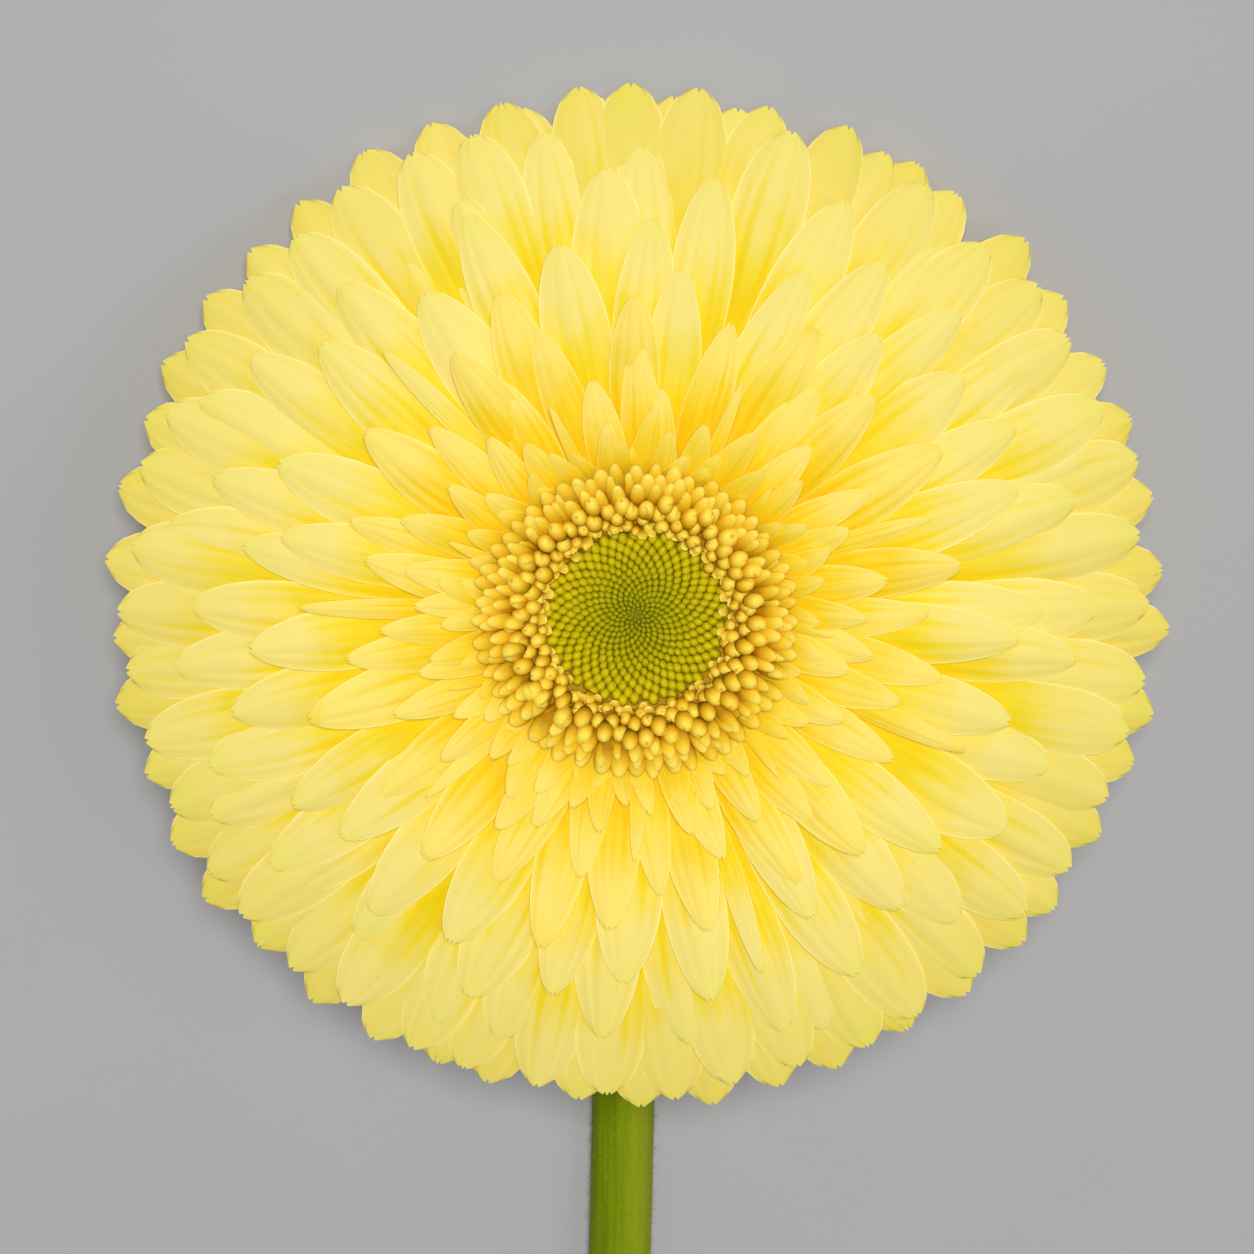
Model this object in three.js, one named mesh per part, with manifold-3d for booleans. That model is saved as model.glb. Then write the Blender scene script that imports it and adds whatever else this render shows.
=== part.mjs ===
// A cut double gerbera, laid down on a table with its face up.
// Millimetres, +Z up. The stem lies along -Y, and its neck turns up into the back of the flower head.
// The origin is on the table, on the stem's flat underside, just before the neck starts to rise.
import * as THREE from "three";
import { mergeVertices } from "three/addons/utils/BufferGeometryUtils.js";
import Module from "manifold-3d";

const wasm = await Module();
wasm.setup();

// Driving dimensions
const HEAD_RADIUS = 57.5; // tips of the outermost rays
const STEM_LENGTH = 340; // from the cut end to where the neck rises
const NECK_START = 10; // how far beyond the origin the neck rises
const STEM_CUT_RADIUS = 4.1;
const STEM_RADIUS = 3.6; // where the neck starts
const NECK_RADIUS = 3.0; // where the neck meets the head
const NECK_BEND = 15; // radius of the neck's centre line
const HEAD_TILT = THREE.MathUtils.degToRad(24); // how far the face leans from straight up, away from the stem
const GAP = 0.3; // between sub-parts that touch
const SUNK = 2.5; // how deep a root goes into what it grows from

const GOLDEN_ANGLE = Math.PI * (3 - Math.sqrt(5));

const STEM_SIDES = 12;
const STEM_STEPS = 14;
const NECK_STEPS = 8;
const STEM_SWAY = 5; // sideways bow of the lying stem

// Heights along the head's own axis, from the top of the neck
const CUP_RADIUS = 16.6;
const CUP_HEIGHT = 12.2;
const CORE_BASE = CUP_HEIGHT + GAP;
const CORE_TOP = 18.3;
const CROWN_HEIGHT = 24.0; // tips of the innermost rays, around the ring of short florets
const RIM_HEIGHT = 11.5; // tips of the outermost rays
const DISC_RADIUS = 9.5;
const RING_INNER = DISC_RADIUS + GAP;
const RING_OUTER = 14.4;
const FLORET_FLOOR = CORE_TOP + GAP;

const RAYS = 120;
const RIM_RAYS = 46; // those whose tips make the outline
const RIM_DEPTH = 3; // the innermost of them end this far inside the outline
const RAY_THICKNESS = 0.66;
const INNER_TIP_RADIUS = 24;
const SAG_REACH = 3; // an outer tip nearer to the table than this sags down onto it

const COLOURS = {
  stem: 0x6f8a12,
  involucre: 0x5c7a22,
  ray_florets: 0xf6e88a,
  trans_florets: 0xf2cf45,
  disc_florets: 0xb4ab14,
};

const { lerp, smoothstep, clamp, degToRad } = THREE.MathUtils;

// A repeatable number from 0 to 1 for the floret with these indices.
function draw(row, item, use) {
  const wave =
    Math.sin(row * 12.9898 + item * 78.233 + use * 37.719 + 4.1) * 43758.5453;
  return wave - Math.floor(wave);
}

// The same, from -size to size.
function jitter(row, item, use, size) {
  return (draw(row, item, use) * 2 - 1) * size;
}

function solidOf(geometry) {
  const plain = geometry.clone();
  plain.deleteAttribute("normal");
  plain.deleteAttribute("uv");
  const merged = mergeVertices(plain, 1e-4);
  return new wasm.Manifold(
    new wasm.Mesh({
      numProp: 3,
      vertProperties: new Float32Array(merged.attributes.position.array),
      triVerts: new Uint32Array(merged.index.array),
    }),
  );
}

function geometryOf(solid) {
  const mesh = solid.getMesh();
  return new THREE.BufferGeometry()
    .setAttribute("position", new THREE.BufferAttribute(mesh.vertProperties, 3))
    .setIndex(new THREE.BufferAttribute(mesh.triVerts, 1));
}

// Joins solids two by two, so that each join stays small.
function joined(solids) {
  let left = solids;
  while (left.length > 1) {
    const next = [];
    for (let i = 0; i < left.length; i += 2) {
      next.push(i + 1 < left.length ? left[i].add(left[i + 1]) : left[i]);
    }
    left = next;
  }
  return left[0];
}

// The largest body of a solid, without the scraps that a cut leaves.
function largestBody(solid) {
  return solid
    .decompose()
    .reduce((best, body) => (body.volume() > best.volume() ? body : best));
}

// A solid of revolution about the head's axis, from [radius, height] pairs.
function turned(profile, segments) {
  const points = profile.map(([radius, height]) => new THREE.Vector2(radius, height));
  const geometry = new THREE.LatheGeometry(points, segments);
  geometry.rotateX(Math.PI / 2);
  const solid = solidOf(geometry);
  return solid.volume() < 0 ? solidOf(flipped(geometry)) : solid;
}

function flipped(geometry) {
  const turnedRound = geometry.clone();
  const index = turnedRound.index.array;
  for (let i = 0; i < index.length; i += 3) {
    [index[i + 1], index[i + 2]] = [index[i + 2], index[i + 1]];
  }
  return turnedRound;
}

// The stem's centre line: straight along the table with a slight sideways bow, then up into the head.
const apothem = Math.cos(Math.PI / STEM_SIDES);
const neckTurn = Math.PI / 2 - HEAD_TILT;

function stemRings() {
  const rings = [];
  for (let i = 0; i <= STEM_STEPS; i++) {
    const along = i / STEM_STEPS;
    const radius = lerp(STEM_CUT_RADIUS, STEM_RADIUS, along);
    const y = NECK_START - STEM_LENGTH * (1 - along);
    const x = -STEM_SWAY * Math.sin(Math.PI * along) * (1 - along);
    rings.push({ centre: new THREE.Vector3(x, y, radius * apothem), radius, pitch: 0 });
  }
  const start = rings.at(-1).centre.z;
  for (let i = 1; i <= NECK_STEPS; i++) {
    const pitch = (neckTurn * i) / NECK_STEPS;
    const radius = lerp(STEM_RADIUS, NECK_RADIUS, i / NECK_STEPS);
    const y = NECK_START + NECK_BEND * Math.sin(pitch);
    const z = start + NECK_BEND * (1 - Math.cos(pitch));
    rings.push({ centre: new THREE.Vector3(0, y, z), radius, pitch });
  }
  return rings;
}

function stemGeometry() {
  const rings = stemRings();
  const positions = [];
  const faces = [];
  for (const { centre, radius, pitch } of rings) {
    for (let k = 0; k < STEM_SIDES; k++) {
      const around = ((k + 0.5) * 2 * Math.PI) / STEM_SIDES;
      const side = Math.cos(around) * radius;
      const up = Math.sin(around) * radius;
      positions.push(
        centre.x + side,
        centre.y - up * Math.sin(pitch),
        centre.z + up * Math.cos(pitch),
      );
    }
  }
  for (let i = 0; i + 1 < rings.length; i++) {
    for (let k = 0; k < STEM_SIDES; k++) {
      const a = i * STEM_SIDES + k;
      const b = i * STEM_SIDES + ((k + 1) % STEM_SIDES);
      faces.push(a, a + STEM_SIDES, b, b, a + STEM_SIDES, b + STEM_SIDES);
    }
  }
  const last = (rings.length - 1) * STEM_SIDES;
  for (let k = 1; k + 1 < STEM_SIDES; k++) {
    faces.push(0, k, k + 1);
    faces.push(last, last + k + 1, last + k);
  }
  return new THREE.BufferGeometry()
    .setAttribute("position", new THREE.Float32BufferAttribute(positions, 3))
    .setIndex(faces);
}

// The head's frame: +Z along its axis, origin at the top of the neck.
const neckTop = stemRings().at(-1).centre;
const head = new THREE.Group();
head.position.copy(neckTop);
head.rotation.x = -HEAD_TILT;
head.updateMatrix();
const headInverse = head.matrix.clone().invert();

function heightOverTable(point) {
  return point.clone().applyMatrix4(head.matrix).z;
}

function liftedTo(point, height) {
  const placed = point.clone().applyMatrix4(head.matrix);
  placed.z = Math.max(placed.z, height);
  return placed.applyMatrix4(headInverse);
}

// Half the width of a blade at share t of its length, as a share of its widest half.
function bladeOutline(t, { waist, tipShare, tipPower, tipEnd }) {
  const widest = 1 - tipShare;
  if (t <= widest) return waist + (1 - waist) * smoothstep(t / widest, 0, 1);
  const over = Math.min(1, (t - widest) / tipShare);
  return tipEnd + (1 - tipEnd) * Math.pow(1 - Math.pow(over, tipPower), 1 / tipPower);
}

// A point of the curve from root to tip through a control point, in the plane of the axis, with its slope.
function curvePoint({ root, knee, tip }, t) {
  const s = 1 - t;
  const mix = (a, b, c) => s * s * a + 2 * s * t * b + t * t * c;
  const slope = (a, b, c) => 2 * s * (b - a) + 2 * t * (c - b);
  return {
    out: mix(root[0], knee[0], tip[0]),
    up: mix(root[1], knee[1], tip[1]),
    run: slope(root[0], knee[0], tip[0]),
    rise: slope(root[1], knee[1], tip[1]),
  };
}

// One closed blade, four corners at each station. It follows its curve outwards at an azimuth, 0 towards +Y.
function blade(spec) {
  const { azimuth, width, thickness, stations, roll = 0, sideways = 0, crown = 0 } = spec;
  const outwards = new THREE.Vector3(Math.sin(azimuth), Math.cos(azimuth), 0);
  const across = new THREE.Vector3(Math.cos(azimuth), -Math.sin(azimuth), 0);
  const axis = new THREE.Vector3(0, 0, 1);
  const corners = [];
  const place = (centre, side, normal, edge, face, ahead) => {
    const point = centre
      .clone()
      .addScaledVector(side, edge)
      .addScaledVector(normal, (face * thickness) / 2)
      .add(ahead);
    const resting = spec.rests ? liftedTo(point, face > 0 ? thickness : 0) : point;
    corners.push(resting);
  };
  const none = new THREE.Vector3();
  for (const t of stations) {
    const { out, up, run, rise } = curvePoint(spec.curve, t);
    const along = outwards.clone().multiplyScalar(run).addScaledVector(axis, rise).normalize();
    const normal = along.clone().cross(across).negate().applyAxisAngle(along, roll);
    const side = across.clone().applyAxisAngle(along, roll);
    const centre = outwards
      .clone()
      .multiplyScalar(out)
      .addScaledVector(axis, up)
      .addScaledVector(across, sideways * t * t);
    const half = (width / 2) * bladeOutline(t, spec.outline);
    place(centre, side, normal, half, 1, none);
    place(centre, side, normal, -half, 1, none);
    place(centre, side, normal, -half, -1, none);
    place(centre, side, normal, half, -1, none);
    if (t === 1 && crown > 0) {
      const ahead = along.clone().multiplyScalar(crown);
      place(centre, side, normal, 0, 1, ahead);
      place(centre, side, normal, 0, -1, ahead);
    }
  }
  const faces = [0, 1, 2, 0, 2, 3];
  for (let i = 0; i + 1 < stations.length; i++) {
    const a = i * 4;
    const b = a + 4;
    faces.push(a, b, b + 1, a, b + 1, a + 1); // upper face
    faces.push(a + 3, b + 2, b + 3, a + 3, a + 2, b + 2); // lower face, split alike
    faces.push(a + 1, b + 1, b + 2, a + 1, b + 2, a + 2);
    faces.push(a + 3, b + 3, b, a + 3, b, a);
  }
  const end = (stations.length - 1) * 4;
  if (crown > 0) {
    const top = end + 4;
    const low = end + 5;
    faces.push(end, top, end + 1, end + 3, end + 2, low);
    faces.push(end + 3, low, top, end + 3, top, end);
    faces.push(low, end + 2, end + 1, low, end + 1, top);
  } else {
    faces.push(end, end + 2, end + 1, end, end + 3, end + 2);
  }
  const geometry = new THREE.BufferGeometry()
    .setAttribute(
      "position",
      new THREE.Float32BufferAttribute(corners.flatMap((p) => p.toArray()), 3),
    )
    .setIndex(faces);
  const solid = solidOf(geometry);
  return solid.volume() < 0 ? solidOf(flipped(geometry)) : solid;
}

// Height of the flower's domed face at a radius outside the ring of short florets.
function domeHeight(radius) {
  const share = Math.max(0, (radius - 22) / (HEAD_RADIUS - 22));
  return CROWN_HEIGHT - (CROWN_HEIGHT - RIM_HEIGHT) * Math.pow(share, 1.9);
}

// How far out a ray's tip reaches. Rays are counted inwards, in the order of their spiral.
function rayReach(item) {
  const rimEnd = HEAD_RADIUS - RIM_DEPTH;
  if (item < RIM_RAYS) return lerp(HEAD_RADIUS, rimEnd, item / RIM_RAYS);
  const left = 1 - (item - RIM_RAYS) / (RAYS - 1 - RIM_RAYS);
  const inner = INNER_TIP_RADIUS ** 2;
  return Math.sqrt(inner + (rimEnd ** 2 - inner) * Math.pow(left, 1.25));
}

function rayWidth(reach) {
  const inner = clamp((reach - INNER_TIP_RADIUS) / 20, 0, 1);
  const outer = clamp((reach - INNER_TIP_RADIUS - 20) / 13.5, 0, 1);
  return 5 + 3 * inner + 0.8 * outer;
}

// The size and place of one ray floret, 0 outermost.
function rayFloret(item) {
  const inward = item / (RAYS - 1);
  const azimuth = item * GOLDEN_ANGLE + jitter(0, item, 1, 0.022);
  const tipOut = rayReach(item) * (1 + jitter(0, item, 2, 0.012));
  const rootOut = lerp(15.6, 12.4, inward) - SUNK;
  const rootUp = lerp(CORE_BASE + 0.9, CORE_TOP - 0.7, inward);
  const launch = degToRad(lerp(21, 26, inward));
  const kneeRun = (tipOut - rootOut) * 0.46;
  const root = [rootOut, rootUp];
  const knee = [rootOut + kneeRun, rootUp + kneeRun * Math.tan(launch)];
  const tip = [tipOut, domeHeight(tipOut) - 0.6 + jitter(0, item, 3, 0.35)];
  const tipOver = heightOverTable(
    new THREE.Vector3(Math.sin(azimuth) * tipOut, Math.cos(azimuth) * tipOut, tip[1]),
  );
  if (item < RIM_RAYS && tipOver < SAG_REACH) tip[1] -= tipOver / Math.cos(HEAD_TILT);
  return {
    azimuth,
    curve: { root, knee, tip },
    width: rayWidth(tipOut) * (1 + jitter(0, item, 4, 0.06)),
    thickness: RAY_THICKNESS,
    roll: jitter(0, item, 5, 0.14),
    sideways: jitter(0, item, 6, 1.0),
    crown: lerp(1.5, 1.2, inward),
    outline: {
      waist: 0.26,
      tipShare: lerp(0.2, 0.36, inward),
      tipPower: 2,
      tipEnd: 0.5,
    },
    rests: item < RIM_RAYS,
  };
}

// The space above and inside the rays that the short florets and the disc take.
const floretZone = [
  [0, FLORET_FLOOR - GAP / 2],
  [RING_OUTER + 0.5, FLORET_FLOOR - GAP / 2],
  [RING_OUTER + 1.2, 20.2],
  [18.4, 22.6],
  [22.5, 24.0],
  [22.5, 32],
  [0, 32],
];

function rayFlorets() {
  const core = turned(
    [
      [0, CORE_BASE],
      [15.6, CORE_BASE],
      [16.3, CORE_BASE + 1.6],
      [14.4, CORE_TOP],
      [0, CORE_TOP],
    ],
    24,
  );
  const blades = Array.from({ length: RAYS }, (_, item) => {
    const floret = rayFloret(item);
    const widest = 1 - floret.outline.tipShare;
    return blade({ ...floret, stations: [0, 0.42, widest, 1] });
  });
  const all = joined([core, ...blades]);
  return largestBody(all.subtract(turned(floretZone, 24)));
}

// The green cup under the head with its two rows of pointed bracts.
function involucre() {
  const cup = turned(
    [
      [0, GAP],
      [NECK_RADIUS, GAP],
      [6.5, 1.5],
      [12.5, 5],
      [15.6, 9],
      [CUP_RADIUS, CUP_HEIGHT],
      [0, CUP_HEIGHT],
    ],
    20,
  );
  const rows = [
    { count: 13, root: [13.0, 4.6], knee: [17.6, 8.6], tip: [19.2, 11.3], width: 5.8 },
    { count: 11, root: [6.0, 0.9], knee: [13.6, 3.0], tip: [17.6, 8.0], width: 5.8 },
  ];
  const bracts = rows.flatMap(({ count, root, knee, tip, width }, row) =>
    Array.from({ length: count }, (_, item) =>
      blade({
        azimuth: ((item + 0.5 * row) / count) * 2 * Math.PI + jitter(20 + row, item, 1, 0.05),
        curve: { root, knee, tip: [tip[0] + jitter(20 + row, item, 2, 0.4), tip[1]] },
        width,
        thickness: 0.8,
        stations: [0, 0.5, 1],
        outline: { waist: 0.7, tipShare: 0.5, tipPower: 1.4, tipEnd: 0.16 },
      }),
    ),
  );
  return largestBody(joined([cup, ...bracts]));
}

// A round bud on a short stalk, leaning outwards.
function bud({ azimuth, out, foot, top, radius, sides, lean }) {
  const outline = [
    [0, 0],
    [radius * 0.8, 0],
    [radius, 0.62],
    [0, 1],
  ];
  const points = outline.map(([r, share]) => new THREE.Vector2(r, share * (top - foot)));
  const geometry = new THREE.LatheGeometry(points, sides);
  geometry.rotateX(Math.PI / 2);
  geometry.rotateX(-lean);
  geometry.rotateZ(-azimuth);
  geometry.translate(Math.sin(azimuth) * out, Math.cos(azimuth) * out, foot);
  const solid = solidOf(geometry);
  return solid.volume() < 0 ? solidOf(flipped(geometry)) : solid;
}

// The golden ring: two rows of round buds, then short tongues that lie over the innermost rays.
function transFlorets() {
  const ring = turned(
    [
      [RING_INNER, FLORET_FLOOR],
      [RING_OUTER, FLORET_FLOOR],
      [RING_OUTER, 20.6],
      [RING_INNER, 20.6],
      [RING_INNER, FLORET_FLOOR],
    ],
    36,
  );
  const budRows = [
    { count: 19, out: 11.1, top: 22.7, radius: 1.4 },
    { count: 22, out: 13.4, top: 23.9, radius: 1.5 },
  ];
  const buds = budRows.flatMap(({ count, out, top, radius }, row) =>
    Array.from({ length: count }, (_, item) =>
      bud({
        azimuth: ((item + 0.5 * row) / count) * 2 * Math.PI + jitter(30 + row, item, 1, 0.03),
        out: out + jitter(30 + row, item, 2, 0.2),
        foot: 20.0,
        top: top + jitter(30 + row, item, 3, 0.3),
        radius,
        sides: 5,
        lean: 0.1,
      }),
    ),
  );
  const tongueRows = [
    { count: 23, root: [12.4, 19.8], knee: [15.0, 24.0], tip: [20.0, 25.0], width: 4.0 },
  ];
  const tongues = tongueRows.flatMap(({ count, root, knee, tip, width }, row) =>
    Array.from({ length: count }, (_, item) =>
      blade({
        azimuth: ((item + 0.5 * row) / count) * 2 * Math.PI + jitter(40 + row, item, 1, 0.04),
        curve: { root, knee, tip: [tip[0] + jitter(40 + row, item, 2, 0.7), tip[1]] },
        width,
        thickness: 0.62,
        stations: [0, 0.6, 1],
        outline: { waist: 0.5, tipShare: 0.4, tipPower: 1.8, tipEnd: 0.3 },
      }),
    ),
  );
  const zone = turned(
    floretZone.map(([radius, height]) => [
      Math.max(0, radius - GAP * (radius > 0 ? 1 : 0)),
      height < 32 ? height + GAP / 2 : height,
    ]),
    24,
  );
  const all = joined([ring, ...buds, ...tongues]);
  return largestBody(all.intersect(zone));
}

// The green eye: small closed buds in spirals on a shallow dish.
function discFlorets() {
  const dish = turned(
    [
      [0, FLORET_FLOOR],
      [DISC_RADIUS, FLORET_FLOOR],
      [DISC_RADIUS, 20.6],
      [DISC_RADIUS * 0.5, 20.2],
      [0, 19.4],
    ],
    24,
  );
  const count = 52;
  const edge = DISC_RADIUS - 1;
  const buds = Array.from({ length: count }, (_, item) => {
    const out = edge * Math.sqrt((item + 0.6) / count);
    const size = lerp(0.76, 1.05, out / edge);
    return bud({
      azimuth: item * GOLDEN_ANGLE,
      out,
      foot: lerp(18.9, 19.7, out / edge),
      top: lerp(20.4, 21.6, out / edge),
      radius: size,
      sides: 5,
      lean: 0,
    });
  });
  return largestBody(joined([dish, ...buds]));
}

function part(name, geometry) {
  const material = new THREE.MeshStandardMaterial({
    color: COLOURS[name],
    roughness: name === "stem" ? 0.5 : 0.65,
    metalness: 0,
  });
  const mesh = new THREE.Mesh(geometry, material);
  mesh.name = name;
  return mesh;
}

const flower = new THREE.Group();
flower.name = "gerbera_stem";
flower.add(part("stem", stemGeometry()));
head.add(part("involucre", geometryOf(involucre())));
head.add(part("ray_florets", geometryOf(rayFlorets())));
head.add(part("trans_florets", geometryOf(transFlorets())));
head.add(part("disc_florets", geometryOf(discFlorets())));
flower.add(head);

export default flower;
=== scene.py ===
"""A cut double gerbera, laid down with its face up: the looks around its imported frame.

Sizes in the classes are millimetres, in the flower's own terms, and go to Blender as metres. The head has
an axis of its own: a point there is (radius from the axis, azimuth from the far side of the table, height
above the top of the neck).
"""

import logging
import math
from collections.abc import Callable
from dataclasses import dataclass, field
from enum import Enum

import bpy
import numpy as np
from mathutils import Matrix, Vector

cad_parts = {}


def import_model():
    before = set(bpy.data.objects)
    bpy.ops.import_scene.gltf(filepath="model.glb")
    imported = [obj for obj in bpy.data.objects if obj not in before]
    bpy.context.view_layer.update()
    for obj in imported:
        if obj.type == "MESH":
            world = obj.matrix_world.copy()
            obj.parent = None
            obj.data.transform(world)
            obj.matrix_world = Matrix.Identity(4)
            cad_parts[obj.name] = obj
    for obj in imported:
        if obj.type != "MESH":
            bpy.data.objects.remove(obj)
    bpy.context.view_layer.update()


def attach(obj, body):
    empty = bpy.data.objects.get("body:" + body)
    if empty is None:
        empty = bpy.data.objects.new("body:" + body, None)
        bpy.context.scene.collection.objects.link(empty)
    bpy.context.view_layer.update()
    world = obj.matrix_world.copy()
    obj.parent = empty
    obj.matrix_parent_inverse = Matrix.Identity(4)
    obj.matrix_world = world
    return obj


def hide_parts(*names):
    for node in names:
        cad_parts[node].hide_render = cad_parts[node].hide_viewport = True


log = logging.getLogger("gerbera")

MM = 0.001
GOLDEN_ANGLE = math.pi * (3 - math.sqrt(5))
BODY = "root"
# Area that a bead takes in a spiral, over its breadth squared: the beads press on each other a little
PACKING = 0.84
BED_SIDES = 48


def lerp(start: float, end: float, share: float) -> float:
    """Returns the value that far from start to end."""
    return start + (end - start) * share


def smooth(share: np.ndarray) -> np.ndarray:
    """Returns 0 to 1 eased at both ends, for shares that are cut off at 0 and 1."""
    cut = np.clip(share, 0, 1)
    return cut * cut * (3 - 2 * cut)


def draw(row: int, item: int, use: int) -> float:
    """Returns a repeatable number from 0 to 1.

    Args:
        row: which whorl or set the floret is in.
        item: its number there.
        use: what the number is for.
    """
    wave = math.sin(row * 12.9898 + item * 78.233 + use * 37.719 + 4.1) * 43758.5453
    return wave - math.floor(wave)


def jitter(row: int, item: int, use: int, size: float) -> float:
    """Returns the same, from -size to size."""
    return (draw(row, item, use) * 2 - 1) * size


def linear(hex_colour: str) -> tuple[float, float, float, float]:
    """Returns an sRGB hex colour as the linear colour that Blender's sockets take."""
    values = [int(hex_colour[i : i + 2], 16) / 255 for i in (1, 3, 5)]
    red, green, blue = (v / 12.92 if v <= 0.04045 else ((v + 0.055) / 1.055) ** 2.4 for v in values)
    return (red, green, blue, 1.0)


def add_node(
    tree: bpy.types.NodeTree,
    kind: str,
    inputs: dict | None = None,
    stops: list[tuple[float, str]] | None = None,
    **settings: object,
) -> bpy.types.Node:
    """Adds one node to a material.

    Args:
        tree: the material's node tree.
        kind: Blender's name for the node.
        inputs: socket name or number to its value, or to the socket that feeds it.
        stops: for a colour ramp, its (place, hex colour) pairs.
        settings: the node's own properties.

    Returns:
        The node.
    """
    node = tree.nodes.new(kind)
    for name, value in settings.items():
        setattr(node, name, value)
    for name, value in (inputs or {}).items():
        if isinstance(value, bpy.types.NodeSocket):
            tree.links.new(value, node.inputs[name])
        else:
            node.inputs[name].default_value = value
    for number, (place, colour) in enumerate(stops or []):
        elements = node.color_ramp.elements
        stop = elements[number] if number < 2 else elements.new(place)
        stop.position = place
        stop.color = linear(colour)
    return node


def start_material(name: str) -> tuple[bpy.types.Material, bpy.types.NodeTree, bpy.types.Node]:
    """Returns a new material, its empty node tree and its one shader, which is already its surface."""
    material = bpy.data.materials.new(name)
    material.use_nodes = True
    tree = material.node_tree
    tree.nodes.clear()
    shader = add_node(tree, "ShaderNodeBsdfPrincipled")
    add_node(tree, "ShaderNodeOutputMaterial", {"Surface": shader.outputs[0]})
    return material, tree, shader


class Tip(Enum):
    """How a floret's strap ends."""

    TOOTHED = (-0.4, 0.4)
    NOTCHED = (0.0,)
    WHOLE = ()


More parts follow.
